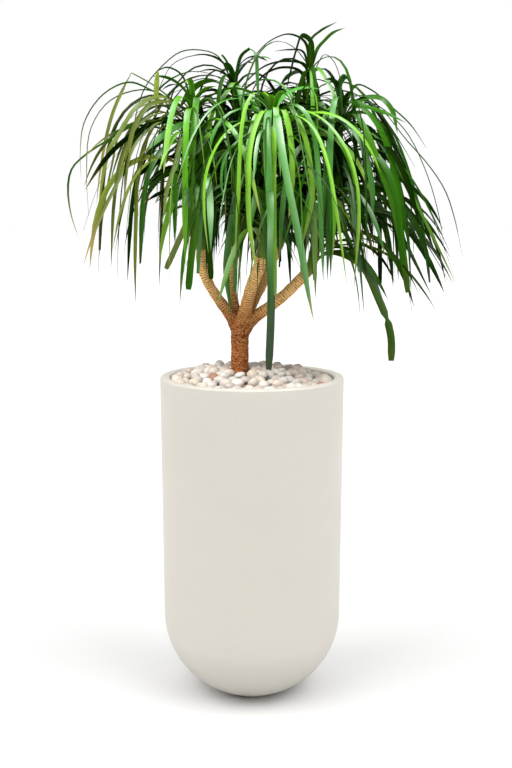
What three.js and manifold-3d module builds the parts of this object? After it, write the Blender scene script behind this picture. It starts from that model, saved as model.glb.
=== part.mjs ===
// Potted ponytail palm: a tall round-bottomed planter, potting soil, a layer of pebbles,
// a woody trunk that forks into five branches, and a leafy shoot on the end of each branch.
// Millimetres, +Z up. The planter stands on z = 0 with its axis on x = 0, y = 0, and the side
// that is seen in the front view faces -Y.

import * as THREE from 'three';
import { mergeVertices } from 'three/addons/utils/BufferGeometryUtils.js';
import Module from 'manifold-3d';

const wasm = await Module();
wasm.setup();

// Planter
const POT_HEIGHT = 800;
const POT_RADIUS = 225;
const POT_LOW_RADIUS = 221;
const BOWL_RADIUS = 211;
const BOWL_CENTRE_HEIGHT = 202;
const BOWL_FOOT = 10.5;
const FOOT_RADIUS = 80;
const RIM_WIDTH = 24;
const RIM_ROUNDING = 6;
const RIM_BAND_DEPTH = 62;
const BAND_FOOT = 700;
const WALL = 15;
const FLOOR = 26;
const POT_SEGMENTS = 36;

// Filling
const FIT_GAP = 0.3;
const SOIL_TOP = 736;
const BED_TOP = 772;
const BED_MOUND = 34;
const MOUND_CENTRE = [-15, 75];
const MOUND_REACH = 190;
const PEBBLE_SPACING = 34;
const PEBBLE_RISE = 14;
const PEBBLE_UNEVEN = 10;

// Trunk and branches
const TRUNK_X = -30;
const TRUNK_Y = 25;
const TRUNK_FOOT = 640;
const TRUNK_RADIUS = 22;
const BRANCH_SIDES = 8;

// Leaves
const SHOWN_STATIONS = 8;
const RULE_STATIONS = 7;
const LEAF_KEEL = 1.9;
const FINE_STEPS = 48;
const HANG_ANGLE = THREE.MathUtils.degToRad(86);
const GOLDEN_ANGLE = THREE.MathUtils.degToRad(137.508);
const CLEARANCE = 0.5;
const RULE_LEAVES = 20;
const CROWN_CENTRE = [35, 15];
const CROWN_REACH = [462, 440];
const BENDS = [0, 3, -3, 6, -6, 9, -9, 13, -13, 17, -17, 22, -22].map(THREE.MathUtils.degToRad);

// The front view is seen from this far in front of the axis, at this height.
const VIEW_DISTANCE = 2590;
const VIEW_HEIGHT = 1187;

const TAU = Math.PI * 2;

// Repeatable random numbers between 0 and 1.
function randomFrom(seed) {
  let state = seed >>> 0;
  return () => {
    state = (state + 0x6d2b79f5) >>> 0;
    let value = state;
    value = Math.imul(value ^ (value >>> 15), value | 1);
    value ^= value + Math.imul(value ^ (value >>> 7), value | 61);
    return ((value ^ (value >>> 14)) >>> 0) / 4294967296;
  };
}

// A closed three.js geometry as a solid.
function solidOf(geometry) {
  const bare = geometry.clone();
  bare.deleteAttribute('normal');
  bare.deleteAttribute('uv');
  const merged = mergeVertices(bare, 1e-4);
  const corners = Array.from(merged.index.array);
  const points = merged.attributes.position.array;
  const kept = [];
  for (let i = 0; i < corners.length; i += 3) {
    const [a, b, c] = corners.slice(i, i + 3);
    if (a !== b && b !== c && c !== a) {
      kept.push(a, b, c);
    }
  }
  const mesh = new wasm.Mesh({
    numProp: 3,
    vertProperties: new Float32Array(points),
    triVerts: new Uint32Array(kept),
  });
  return new wasm.Manifold(mesh);
}

// The largest body of a solid, without loose scraps and sealed hollows.
function mainBody(solid) {
  const bodies = solid.decompose();
  bodies.sort((a, b) => b.volume() - a.volume());
  return bodies[0];
}

function meshOf(solid, name, colour, roughness) {
  const data = solid.getMesh();
  const geometry = new THREE.BufferGeometry();
  const points = new Float32Array(data.vertProperties);
  geometry.setAttribute('position', new THREE.BufferAttribute(points, 3));
  geometry.setIndex(Array.from(data.triVerts));
  geometry.computeVertexNormals();
  const material = new THREE.MeshStandardMaterial({ color: colour, roughness, metalness: 0 });
  const mesh = new THREE.Mesh(geometry, material);
  mesh.name = name;
  return mesh;
}

// A closed skin over a row of rings. A ring of one point closes that end to a tip.
function loft(rings) {
  const positions = [];
  const starts = [];
  for (const ring of rings) {
    starts.push(positions.length / 3);
    for (const point of ring) {
      positions.push(point.x, point.y, point.z);
    }
  }
  const faces = [];
  for (let i = 0; i + 1 < rings.length; i += 1) {
    const near = rings[i].length;
    const far = rings[i + 1].length;
    const count = Math.max(near, far);
    for (let j = 0; j < count; j += 1) {
      const next = (j + 1) % count;
      const a = starts[i] + (near === 1 ? 0 : j);
      const b = starts[i] + (near === 1 ? 0 : next);
      const c = starts[i + 1] + (far === 1 ? 0 : next);
      const d = starts[i + 1] + (far === 1 ? 0 : j);
      if (near > 1) {
        faces.push(a, b, c);
      }
      if (far > 1) {
        faces.push(a, c, d);
      }
    }
  }
  const lastRing = rings[rings.length - 1];
  for (let j = 1; j + 1 < rings[0].length; j += 1) {
    faces.push(starts[0], starts[0] + j + 1, starts[0] + j);
  }
  const last = starts[rings.length - 1];
  for (let j = 1; j + 1 < lastRing.length; j += 1) {
    faces.push(last, last + j, last + j + 1);
  }
  const geometry = new THREE.BufferGeometry();
  geometry.setAttribute('position', new THREE.Float32BufferAttribute(positions, 3));
  geometry.setIndex(faces);
  const solid = solidOf(geometry);
  if (solid.volume() > 0) {
    return solid;
  }
  geometry.setIndex(faces.reverse());
  return solidOf(geometry);
}

// Direction of travel, sideways and upward vectors along a path, without needless turning.
function framesAlong(points, sideways) {
  const frames = [];
  let side = sideways.clone();
  for (let i = 0; i < points.length; i += 1) {
    const before = points[Math.max(i - 1, 0)];
    const after = points[Math.min(i + 1, points.length - 1)];
    const ahead = after.clone().sub(before).normalize();
    side = side.clone().addScaledVector(ahead, -side.dot(ahead)).normalize();
    frames.push({ ahead, side, face: side.clone().cross(ahead) });
  }
  return frames;
}

// A round stem through the given centres, with a radius for each.
function stem(points, radii, sides) {
  const frames = framesAlong(points, new THREE.Vector3(1, 0.2, 0));
  const rings = points.map((centre, i) => {
    const ring = [];
    for (let j = 0; j < sides; j += 1) {
      const turn = (j / sides) * TAU;
      const point = centre.clone();
      point.addScaledVector(frames[i].side, radii[i] * Math.cos(turn));
      point.addScaledVector(frames[i].face, radii[i] * Math.sin(turn));
      ring.push(point);
    }
    return ring;
  });
  return loft(rings);
}

function smoothPath(points, steps) {
  return new THREE.CatmullRomCurve3(points, false, 'centripetal').getSpacedPoints(steps);
}

function vector(values) {
  return new THREE.Vector3(values[0], values[1], values[2]);
}

// Planter: a solid of revolution with a straight, slightly tapered wall over a round bowl.
function outerRadiusAt(height) {
  const share = (height - BOWL_CENTRE_HEIGHT) / (POT_HEIGHT - BOWL_CENTRE_HEIGHT);
  return POT_LOW_RADIUS + (POT_RADIUS - POT_LOW_RADIUS) * share;
}

// Points round the bowl's arc from one height to another, in equal turns.
function bowlArc(radius, fromHeight, toHeight, steps) {
  const start = Math.asin((fromHeight - BOWL_CENTRE_HEIGHT) / radius);
  const end = Math.asin((toHeight - BOWL_CENTRE_HEIGHT) / radius);
  const arc = [];
  for (let i = 0; i <= steps; i += 1) {
    const turn = start + (end - start) * (i / steps);
    const across = POT_LOW_RADIUS - BOWL_RADIUS + radius * Math.cos(turn);
    arc.push([across, BOWL_CENTRE_HEIGHT + radius * Math.sin(turn)]);
  }
  return arc;
}

// A rounded top edge, on the outer side of the wall (1) or the inner side (-1).
function rimEdge(centre, side, turns) {
  return turns.map(THREE.MathUtils.degToRad).map((turn) => [
    centre + side * RIM_ROUNDING * Math.cos(turn),
    POT_HEIGHT - RIM_ROUNDING + RIM_ROUNDING * Math.sin(turn),
  ]);
}

// Inside of the wall from the rim band down to the middle of the floor.
function innerProfile() {
  return [
    [POT_RADIUS - RIM_WIDTH, POT_HEIGHT - RIM_BAND_DEPTH],
    [outerRadiusAt(BAND_FOOT) - WALL, BAND_FOOT],
    ...bowlArc(BOWL_RADIUS - WALL, BOWL_CENTRE_HEIGHT, FLOOR, 6),
    [0, FLOOR],
  ];
}

function potProfile() {
  return [
    [0, 0],
    [FOOT_RADIUS - 3, 0],
    [FOOT_RADIUS + 4, 1.2],
    [FOOT_RADIUS + 11, 5],
    ...bowlArc(BOWL_RADIUS, BOWL_FOOT, BOWL_CENTRE_HEIGHT, 9),
    ...rimEdge(POT_RADIUS - RIM_ROUNDING, 1, [0, 45, 90]),
    ...rimEdge(POT_RADIUS - RIM_WIDTH + RIM_ROUNDING, -1, [90, 45, 0]),
    ...innerProfile(),
  ];
}

// A solid of revolution about the upright axis.
function revolved(profile) {
  const outline = profile.map(([radius, height]) => new THREE.Vector2(radius, height));
  const geometry = new THREE.LatheGeometry(outline, POT_SEGMENTS);
  geometry.rotateX(Math.PI / 2);
  return solidOf(geometry);
}

// A plain round hole for the trunk.
function trunkHole(from, to) {
  const hole = new THREE.CylinderGeometry(TRUNK_RADIUS + 1, TRUNK_RADIUS + 1, to - from, 24);
  hole.rotateX(Math.PI / 2);
  hole.translate(TRUNK_X, TRUNK_Y, (from + to) / 2);
  return solidOf(hole);
}

// Soil: fills the planter up to the pebbles.
function makeSoil() {
  const gap = FIT_GAP * 1.6;
  const [floorEdge, ...wall] = innerProfile().slice(1, -1).reverse();
  const outline = [[0, FLOOR + FIT_GAP], [floorEdge[0] - gap, FLOOR + FIT_GAP]];
  for (const [radius, height] of wall) {
    outline.push([radius - gap, height + gap]);
  }
  const topRadius = POT_RADIUS - RIM_WIDTH - 8;
  outline.push([topRadius + 2, SOIL_TOP - 12], [topRadius, SOIL_TOP], [0, SOIL_TOP]);
  return revolved(outline).subtract(trunkHole(TRUNK_FOOT - FIT_GAP, SOIL_TOP + 20));
}

// Height of the pebble layer: heaped up behind the trunk, lower by the wall.
function bedHeight(x, y) {
  const away = Math.hypot(x - MOUND_CENTRE[0], y - MOUND_CENTRE[1]) / MOUND_REACH;
  return BED_TOP + BED_MOUND * Math.max(0, 1 - away);
}

// The corner points of the cell of one stone, counter-clockwise.
function cellCorners(x, y) {
  const corners = [];
  for (let k = 0; k < 6; k += 1) {
    const turn = (k + 0.5) * (TAU / 6);
    const away = PEBBLE_SPACING / Math.sqrt(3);
    corners.push([x + away * Math.cos(turn), y + away * Math.sin(turn)]);
  }
  return corners;
}

// Pebbles: one layer of stones that touch each other, raised as rounded six-sided domes from
// cells of uneven outline, and trimmed to the planter and the trunk.
function makePebbles() {
  const random = randomFrom(41);
  const reach = POT_RADIUS - RIM_WIDTH - 3;
  const points = [];
  const faces = [];
  const corners = new Map();
  const addPoint = (x, y, z) => points.push([x, y, z]) - 1;
  const low = SOIL_TOP - 8;
  const cornerAt = ([x, y]) => {
    const key = `${Math.round(x)} ${Math.round(y)}`;
    if (!corners.has(key)) {
      const px = x + (random() - 0.5) * PEBBLE_UNEVEN;
      const py = y + (random() - 0.5) * PEBBLE_UNEVEN;
      const top = addPoint(px, py, bedHeight(px, py) - 3 * random());
      corners.set(key, { px, py, top, bottom: addPoint(px, py, low) });
    }
    return corners.get(key);
  };
  const edges = new Map();
  const rows = Math.ceil(reach / PEBBLE_SPACING) + 2;
  for (let row = -rows; row <= rows; row += 1) {
    for (let column = -rows; column <= rows; column += 1) {
      const x = (column + (row % 2 ? 0.5 : 0)) * PEBBLE_SPACING;
      const y = row * PEBBLE_SPACING * Math.sqrt(0.75);
      if (Math.hypot(x, y) > reach + PEBBLE_SPACING) {
        continue;
      }
      const ring = cellCorners(x, y).map(cornerAt);
      const cx = ring.reduce((sum, corner) => sum + corner.px, 0) / 6;
      const cy = ring.reduce((sum, corner) => sum + corner.py, 0) / 6;
      const rise = PEBBLE_RISE * (0.75 + 0.5 * random());
      const base = bedHeight(cx, cy);
      const shoulders = ring.map(({ px, py }) => addPoint(
        cx + (px - cx) * 0.62,
        cy + (py - cy) * 0.62,
        base + rise * (0.8 + 0.2 * random()),
      ));
      const bottom = addPoint(cx, cy, low);
      faces.push([shoulders[0], shoulders[2], shoulders[4]]);
      ring.forEach((corner, k) => {
        const next = (k + 1) % 6;
        const after = ring[next];
        if (k % 2 === 0) {
          faces.push([shoulders[k], shoulders[next], shoulders[(k + 2) % 6]]);
        }
        faces.push([shoulders[k], corner.top, after.top]);
        faces.push([shoulders[k], after.top, shoulders[next]]);
        faces.push([bottom, after.bottom, corner.bottom]);
        edges.set(`${corner.top} ${after.top}`, [corner, after]);
      });
    }
  }
  for (const [corner, after] of edges.values()) {
    if (!edges.has(`${after.top} ${corner.top}`)) {
      faces.push([corner.top, corner.bottom, after.bottom], [corner.top, after.bottom, after.top]);
    }
  }
  const geometry = new THREE.BufferGeometry();
  geometry.setAttribute('position', new THREE.Float32BufferAttribute(points.flat(), 3));
  geometry.setIndex(faces.flat());
  const height = BED_TOP + 90 - SOIL_TOP;
  const trim = new THREE.CylinderGeometry(reach, reach, height, POT_SEGMENTS);
  trim.rotateX(Math.PI / 2);
  trim.translate(0, 0, SOIL_TOP + FIT_GAP + height / 2);
  const layer = solidOf(geometry).intersect(solidOf(trim));
  return mainBody(layer.subtract(trunkHole(SOIL_TOP - 10, BED_TOP + 90)));
}

// Branch centres from the fork to the branch end, with the radius at each end.
const BRANCHES = [
  { from: 17, to: 12, path: [[-34, 24, 908], [-51, 21, 944], [-78, 14, 981], [-108, 6, 1030],
    [-122, -1, 1076], [-123, -5, 1108]] },
  { from: 16, to: 11, path: [[-33, 30, 915], [-43, 40, 962], [-49, 52, 1003], [-49, 60, 1045],
    [-41, 70, 1110]] },
  { from: 20, to: 14, path: [[-27, 20, 905], [-19, 4, 944], [-11, -12, 982], [-1, -28, 1020],
    [13, -42, 1057], [22, -52, 1092]] },
  { from: 16, to: 11, path: [[-24, 30, 905], [-8, 40, 952], [8, 50, 985], [24, 60, 1013],
    [41, 74, 1052], [64, 92, 1106]] },
  { from: 17, to: 13, path: [[-25, 24, 900], [-4, 12, 932], [15, 4, 949], [38, -1, 966],
    [62, -6, 984], [88, -9, 1007], [130, -12, 1050]] },
];

function branchEnd(branch) {
  const path = branch.path;
  const end = vector(path[path.length - 1]);
  const before = vector(path[path.length - 2]);
  return { end, ahead: end.clone().sub(before).normalize() };
}

// Trunk and branches grew as one piece of wood.
function makeTrunk() {
  const heights = [TRUNK_FOOT, 700, 760, 800, 830, 870, 900, 925];
  const swell = [0.62, 0.9, 1, 1, 0.98, 0.97, 1.02, 0.9];
  const centres = heights.map((height) => new THREE.Vector3(TRUNK_X, TRUNK_Y, height));
  const parts = [stem(centres, swell.map((value) => value * TRUNK_RADIUS), 12)];
  for (const branch of BRANCHES) {
    const centreLine = smoothPath(branch.path.map(vector), 8);
    const radii = centreLine.map((point, i) => {
      const share = i / (centreLine.length - 1);
      const narrowing = branch.from + (branch.to - branch.from) * Math.min(1, share * 2.2);
      return narrowing * (i % 2 ? 1.03 : 0.99);
    });
    parts.push(stem(centreLine, radii, BRANCH_SIDES));
  }
  return mainBody(wasm.Manifold.union(parts));
}

// Shoots: each goes on from its branch end up to the point where the leaves arch over.
const SHOOTS = [
  { name: 'leafy_shoot_left', colour: 0x7f9c3c, base: 12, tip: 13,
    path: [[-125, -10, 1200], [-132, -16, 1320], [-140, -20, 1440]] },
  { name: 'leafy_shoot_rear_left', colour: 0x4f9a3c, base: 11, tip: 12,
    path: [[-38, 72, 1250], [-40, 71, 1400], [-42, 70, 1515]] },
  { name: 'leafy_shoot_front', colour: 0x74c443, base: 14, tip: 13,
    path: [[32, -72, 1180], [42, -92, 1300], [48, -110, 1420]] },
  { name: 'leafy_shoot_rear_right', colour: 0x2f6e2b, base: 11, tip: 12,
    path: [[88, 100, 1230], [120, 106, 1390], [148, 110, 1555]] },
  { name: 'leafy_shoot_right', colour: 0x3f9142, base: 13, tip: 13,
    path: [[155, -14, 1130], [190, -12, 1290], [215, -10, 1445]] },
];

function shootAxis(index) {
  const { end, ahead } = branchEnd(BRANCHES[index]);
  const start = end.clone().addScaledVector(ahead, FIT_GAP);
  const second = end.clone().addScaledVector(ahead, 14);
  return [start, second, ...SHOOTS[index].path.map(vector)];
}

function makeCore(index) {
  const shoot = SHOOTS[index];
  const axis = smoothPath(shootAxis(index), 7);
  const { ahead } = branchEnd(BRANCHES[index]);
  axis[1].copy(axis[0]).addScaledVector(ahead, 12);
  const radii = axis.map((point, i) => shoot.base + (shoot.tip - shoot.base) * (i / 7));
  radii[7] = shoot.tip * 0.5;
  return stem(axis, radii, 7);
}

// Leaves that stand out in the front view. Each row holds the shoot, the place of the root
// along the shoot, the width, whether the end is blunt, the twist in degrees, the number of
// the point where the blade is folded (0 for none), and the points that it goes through:
// across, depth and height, where across and height are as they look on the axis plane.
const SHOWN_LEAVES = [
  [1, 0.96, 8, 0, 10, 0, [[-236, 12, 1478], [-289, 20, 1497], [-350, 30, 1470], [-396, 45, 1407],
    [-408, 55, 1340], [-408, 60, 1278]]],
  [1, 0.9, 8, 0, 15, 0, [[-200, -20, 1445], [-262, -30, 1410], [-332, -40, 1369], [-389, -50, 1335],
    [-428, -55, 1299], [-439, -60, 1259], [-435, -60, 1196], [-416, -60, 1130]]],
  [1, 0.95, 12, 0, 70, 2, [[-232, 60, 1490], [-284, 70, 1519], [-330, 80, 1424], [-361, 85, 1297],
    [-372, 85, 1215]]],
  [1, 0.9, 13, 0, 60, 0, [[-205, -50, 1462], [-270, -75, 1443], [-315, -85, 1378],
    [-339, -90, 1342], [-356, -90, 1278], [-368, -90, 1200]]],
  [1, 0.9, 13, 0, 70, 0, [[-190, -80, 1450], [-239, -110, 1447], [-275, -120, 1404],
    [-294, -125, 1338], [-301, -130, 1278], [-306, -130, 1220]]],
  [1, 0.85, 11, 0, 60, 0, [[-208, -50, 1409], [-272, -70, 1361], [-308, -80, 1290],
    [-361, -90, 1189], [-392, -92, 1115], [-408, -92, 1065]]],
  [1, 0.97, 15, 0, 30, 0, [[-165, -30, 1512], [-200, -40, 1531], [-221, -45, 1524],
    [-225, -50, 1488], [-227, -52, 1426]]],
  [2, 0.97, 9, 0, 15, 0, [[-80, 72, 1556], [-119, 75, 1570], [-167, 78, 1566], [-215, 80, 1530],
    [-251, 82, 1486], [-272, 84, 1430], [-289, 84, 1338]]],
  [2, 0.95, 7, 0, 10, 0, [[-70, 50, 1545], [-112, 50, 1560], [-184, 48, 1540], [-220, 46, 1481],
    [-244, 44, 1433], [-260, 44, 1362]]],
  [2, 0.98, 14, 0, 0, 2, [[-25, 60, 1556], [-4, 50, 1574], [8, 35, 1560], [12, 25, 1505],
    [16, 22, 1440]]],
  [2, 0.97, 9, 1, 0, 0, [[-60, 92, 1545], [-71, 98, 1560]]],
  [4, 0.97, 10, 0, 10, 0, [[128, 105, 1580], [112, 95, 1598], [82, 85, 1606], [39, 75, 1589],
    [10, 65, 1562], [-21, 60, 1530], [-40, 58, 1500]]],
  [4, 0.97, 6, 0, 0, 0, [[136, 118, 1590], [160, 135, 1614], [198, 160, 1634]]],
  [4, 0.97, 10, 0, 20, 0, [[153, 125, 1572], [170, 138, 1592], [190, 148, 1610], [218, 160, 1621]]],
  [4, 0.95, 8, 0, 10, 0, [[120, 95, 1566], [85, 85, 1571], [52, 80, 1568]]],
  [4, 0.9, 9, 0, 15, 0, [[125, 90, 1535], [82, 70, 1545], [40, 60, 1538], [12, 55, 1522],
    [-28, 50, 1480], [-45, 48, 1440]]],
  [4, 0.88, 9, 0, -15, 0, [[115, 90, 1520], [72, 80, 1531], [30, 70, 1515], [5, 65, 1485],
    [-10, 62, 1445]]],
  [4, 0.93, 8, 0, 10, 0, [[170, 115, 1560], [190, 120, 1547], [206, 125, 1510], [214, 128, 1450]]],
  [4, 0.97, 12, 0, 20, 0, [[138, 100, 1590], [118, 90, 1603], [104, 75, 1570], [92, 65, 1525],
    [78, 60, 1470]]],
  [2, 0.9, 16, 0, 0, 0, [[-40, 20, 1496], [-60, -20, 1472], [-93, -50, 1426], [-105, -75, 1366],
    [-112, -85, 1300], [-117, -88, 1240]]],
  [3, 0.9, 14, 0, 0, 0, [[-9, -160, 1408], [-52, -185, 1388], [-88, -200, 1342],
    [-110, -208, 1278], [-114, -212, 1194], [-105, -212, 1098]]],
  [1, 0.93, 15, 0, 0, 0, [[-130, -60, 1462], [-138, -105, 1392], [-142, -120, 1330],
    [-143, -128, 1268], [-144, -130, 1208], [-150, -130, 1160]]],
  [3, 0.95, 13, 0, 0, 0, [[30, -150, 1432], [9, -185, 1397], [-5, -205, 1338], [-9, -212, 1254],
    [-5, -212, 1158], [12, -210, 1050]]],
  [2, 0.93, 13, 0, 0, 0, [[-34, 10, 1490], [-24, -40, 1455], [-16, -70, 1400], [-14, -85, 1330],
    [-14, -88, 1270]]],
  [3, 0.93, 11, 0, 0, 0, [[14, -140, 1425], [-4, -166, 1380], [-12, -180, 1325],
    [-14, -184, 1250]]],
  [3, 0.96, 18, 1, 0, 0, [[40, -150, 1433], [36, -180, 1385], [38, -200, 1310], [46, -208, 1190],
    [47, -205, 1036], [46, -192, 936], [41, -172, 814]]],
  [3, 0.97, 13, 0, 0, 0, [[56, -150, 1440], [57, -172, 1400], [54, -182, 1345],
    [52, -184, 1285]]],
  [3, 0.95, 14, 0, 0, 0, [[72, -145, 1434], [86, -175, 1395], [95, -188, 1330], [94, -192, 1245],
    [88, -190, 1180]]],
  [3, 0.94, 15, 0, 0, 0, [[85, -130, 1440], [108, -160, 1410], [127, -180, 1364],
    [139, -190, 1297], [144, -195, 1237], [132, -195, 1170], [117, -193, 1105]]],
  [3, 0.97, 15, 0, 0, 2, [[84, -105, 1440], [130, -105, 1493], [148, -115, 1470],
    [154, -122, 1400], [153, -124, 1330], [150, -124, 1262]]],
  [4, 0.9, 9, 0, 20, 0, [[150, 60, 1530], [175, 10, 1502], [195, -15, 1462], [201, -25, 1400],
    [202, -28, 1330]]],
  [3, 0.9, 12, 0, 20, 0, [[110, -140, 1432], [163, -165, 1414], [196, -178, 1383],
    [230, -188, 1330], [252, -194, 1250], [256, -196, 1170], [251, -195, 1080],
    [247, -194, 1010]]],
  [3, 0.92, 15, 0, 0, 0, [[120, -160, 1420], [158, -195, 1368], [180, -208, 1310],
    [195, -214, 1230], [197, -216, 1150], [194, -215, 1085]]],
  [3, 0.95, 16, 0, 0, 0, [[58, -170, 1420], [68, -215, 1360], [80, -232, 1290],
    [100, -240, 1195], [122, -240, 1086], [136, -236, 1003], [150, -232, 935]]],
  [5, 0.95, 14, 0, 20, 0, [[205, -30, 1490], [218, -45, 1510], [232, -58, 1492],
    [243, -66, 1440], [255, -72, 1395], [264, -75, 1350]]],
  [5, 0.95, 9, 0, 10, 0, [[245, 5, 1490], [280, 12, 1480], [330, 18, 1440], [375, 22, 1400],
    [414, 24, 1347]]],
  [5, 0.93, 12, 0, 70, 0, [[250, -20, 1455], [300, -30, 1462], [330, -36, 1435],
    [345, -40, 1380]]],
  [5, 0.9, 13, 0, 60, 0, [[235, -50, 1452], [275, -62, 1440], [318, -70, 1426],
    [364, -78, 1405]]],
  [5, 0.85, 14, 0, 20, 0, [[222, -80, 1400], [255, -120, 1365], [276, -135, 1310],
    [288, -140, 1237], [287, -140, 1165]]],
  [5, 0.9, 15, 1, 50, 0, [[240, -60, 1425], [270, -95, 1385], [299, -112, 1315],
    [330, -120, 1237], [352, -120, 1160], [366, -118, 1090], [378, -115, 1003]]],
  [5, 0.92, 14, 1, 40, 0, [[265, 10, 1455], [325, 18, 1395], [370, 22, 1300], [400, 22, 1190],
    [418, 20, 1100], [430, 20, 1027]]],
  [5, 0.9, 7, 0, 10, 0, [[290, 25, 1440], [370, 35, 1360], [425, 38, 1300], [462, 36, 1245],
    [486, 34, 1180], [509, 30, 1087]]],
  [5, 0.05, 8, 0, 10, 0, [[175, -30, 1092], [211, -40, 1103], [251, -50, 1094],
    [290, -60, 1055], [310, -62, 1010]]],
  [5, 0.1, 15, 1, 40, 5, [[190, -40, 1095], [235, -55, 1085], [270, -62, 1060],
    [306, -68, 991], [330, -70, 936], [340, -72, 890], [341, -72, 836]]],
  [1, 0.3, 17, 1, 30, 0, [[-140, -45, 1215], [-155, -65, 1175], [-179, -72, 1122],
    [-208, -75, 1060]]],
  [1, 0.28, 17, 1, 0, 0, [[-132, -45, 1200], [-138, -62, 1150], [-147, -66, 1080],
    [-154, -66, 1010]]],
  [1, 0.35, 14, 1, -10, 0, [[-115, -60, 1215], [-106, -85, 1170], [-103, -90, 1110],
    [-99, -90, 1036]]],
  [2, 0.35, 16, 0, 0, 0, [[-30, 20, 1290], [-34, -50, 1262], [-43, -90, 1208],
    [-57, -105, 1120], [-62, -108, 1051], [-50, -108, 945]]],
  [1, 0.88, 13, 0, 60, 0, [[-196, -10, 1425], [-250, -20, 1365], [-272, -25, 1280],
    [-278, -28, 1180], [-282, -30, 1080], [-283, -30, 981]]],
  [1, 0.9, 11, 0, 50, 0, [[-235, 25, 1450], [-303, 35, 1405], [-334, 40, 1302],
    [-357, 42, 1194], [-372, 42, 1060]]],
  [1, 0.86, 12, 0, 50, 0, [[-215, -45, 1430], [-275, -60, 1395], [-312, -68, 1320],
    [-330, -72, 1218], [-341, -74, 1060]]],
  [1, 0.93, 10, 0, 30, 0, [[-240, 60, 1462], [-322, 80, 1405], [-350, 88, 1302],
    [-363, 90, 1194], [-372, 90, 1050]]],
  [1, 0.95, 7, 0, 10, 0, [[-250, 95, 1480], [-335, 120, 1455], [-382, 130, 1390],
    [-394, 132, 1290], [-392, 132, 1187]]],
  [1, 0.7, 12, 0, 60, 0, [[-170, -50, 1360], [-215, -80, 1340], [-245, -92, 1290],
    [-260, -96, 1220], [-266, -97, 1150], [-272, -97, 1070]]],
  [1, 0.85, 14, 0, 75, 0, [[-160, -90, 1400], [-205, -125, 1380], [-258, -140, 1335]]],
  [1, 0.75, 13, 0, 40, 0, [[-165, -75, 1370], [-182, -105, 1310], [-203, -112, 1249],
    [-213, -114, 1180]]],
  [1, 0.7, 12, 0, 20, 0, [[-160, -50, 1370], [-178, -66, 1310], [-183, -72, 1242],
    [-187, -74, 1122]]],
  [3, 0.8, 14, 0, 0, 0, [[10, -150, 1385], [-30, -175, 1365], [-62, -188, 1328],
    [-73, -192, 1271], [-66, -192, 1215]]],
  [5, 0.9, 13, 0, 50, 0, [[250, -70, 1440], [300, -100, 1395], [340, -112, 1290],
    [365, -115, 1180], [385, -112, 1085]]],
  [5, 0.88, 12, 0, 40, 0, [[255, 40, 1430], [330, 60, 1370], [385, 70, 1260],
    [415, 74, 1140], [432, 74, 1040]]],
  [5, 0.93, 10, 0, 30, 0, [[280, 50, 1450], [360, 70, 1390], [415, 80, 1290],
    [450, 82, 1180], [468, 82, 1075]]],
];

// Where a point of the front view is in space, given its depth.
function fromFrontView([across, depth, height]) {
  const scale = (VIEW_DISTANCE + depth) / VIEW_DISTANCE;
  return new THREE.Vector3(across * scale, depth, VIEW_HEIGHT + (height - VIEW_HEIGHT) * scale);
}

function shownLeaf([number, height, width, blunt, twist, fold, points], order) {
  const shoot = number - 1;
  const place = height * (1 - 0.14 * ((order * 0.618) % 1));
  const root = new THREE.CatmullRomCurve3(shootAxis(shoot), false, 'centripetal').getPointAt(place);
  const through = [root, ...points.map(fromFrontView)];
  let path = smoothPath(through, FINE_STEPS);
  if (fold > 0) {
    const rising = smoothPath(through.slice(0, fold + 1), FINE_STEPS / 2);
    const hanging = smoothPath(through.slice(fold), FINE_STEPS / 2);
    path = [...rising, ...hanging.slice(1)];
  }
  return { shoot, path, width, blunt, twist: THREE.MathUtils.degToRad(twist) };
}

// A path that rises, arches over and hangs, until its length is used or it is low enough.
function archedPath(root, form) {
  const path = [root.clone()];
  const point = root.clone();
  const step = form.length / FINE_STEPS;
  for (let i = 0; i < FINE_STEPS && point.z > form.lowest; i += 1) {
    const along = (i + 0.5) / FINE_STEPS;
    const fall = 1 - Math.exp(-((along / form.arch) ** 1.7));
    const slope = form.rise - (form.rise + HANG_ANGLE) * fall;
    const heading = form.azimuth + form.drift * along;
    point.x += step * Math.cos(slope) * Math.cos(heading);
    point.y += step * Math.cos(slope) * Math.sin(heading);
    point.z += step * Math.sin(slope);
    path.push(point.clone());
  }
  return path;
}

function withinCrown(path) {
  return path.every((point) => {
    const x = (point.x - CROWN_CENTRE[0]) / CROWN_REACH[0];
    const y = (point.y - CROWN_CENTRE[1]) / CROWN_REACH[1];
    return Math.hypot(x, y) < 1;
  });
}

// A leaf by rule: golden-angle turns up the shoot, with arches that stay within the crown.
function ruleLeaf(shoot, index, count, random) {
  const share = (index + 0.5) / count;
  const place = 0.2 + 0.77 * share ** 0.8;
  const axis = new THREE.CatmullRomCurve3(shootAxis(shoot), false, 'centripetal');
  const root = axis.getPointAt(place);
  const form = {
    azimuth: index * GOLDEN_ANGLE + shoot * 1.3 + (random() - 0.5) * 0.5,
    rise: THREE.MathUtils.degToRad(38 + 18 * share + 16 * random()),
    arch: 0.4 - 0.16 * share - 0.1 * random(),
    drift: (random() - 0.5) * 0.7,
    length: 470 + 210 * random(),
    lowest: 985 + 150 * random(),
  };
  let path = archedPath(root, form);
  while (!withinCrown(path)) {
    form.arch *= 0.9;
    form.length *= 0.97;
    path = archedPath(root, form);
  }
  const width = 10 + 6 * random();
  const blunt = random() < 0.12 ? 1 : 0;
  const twist = (random() - 0.5) * 2.2;
  return { shoot, path, width, blunt, twist, byRule: true };
}

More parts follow.
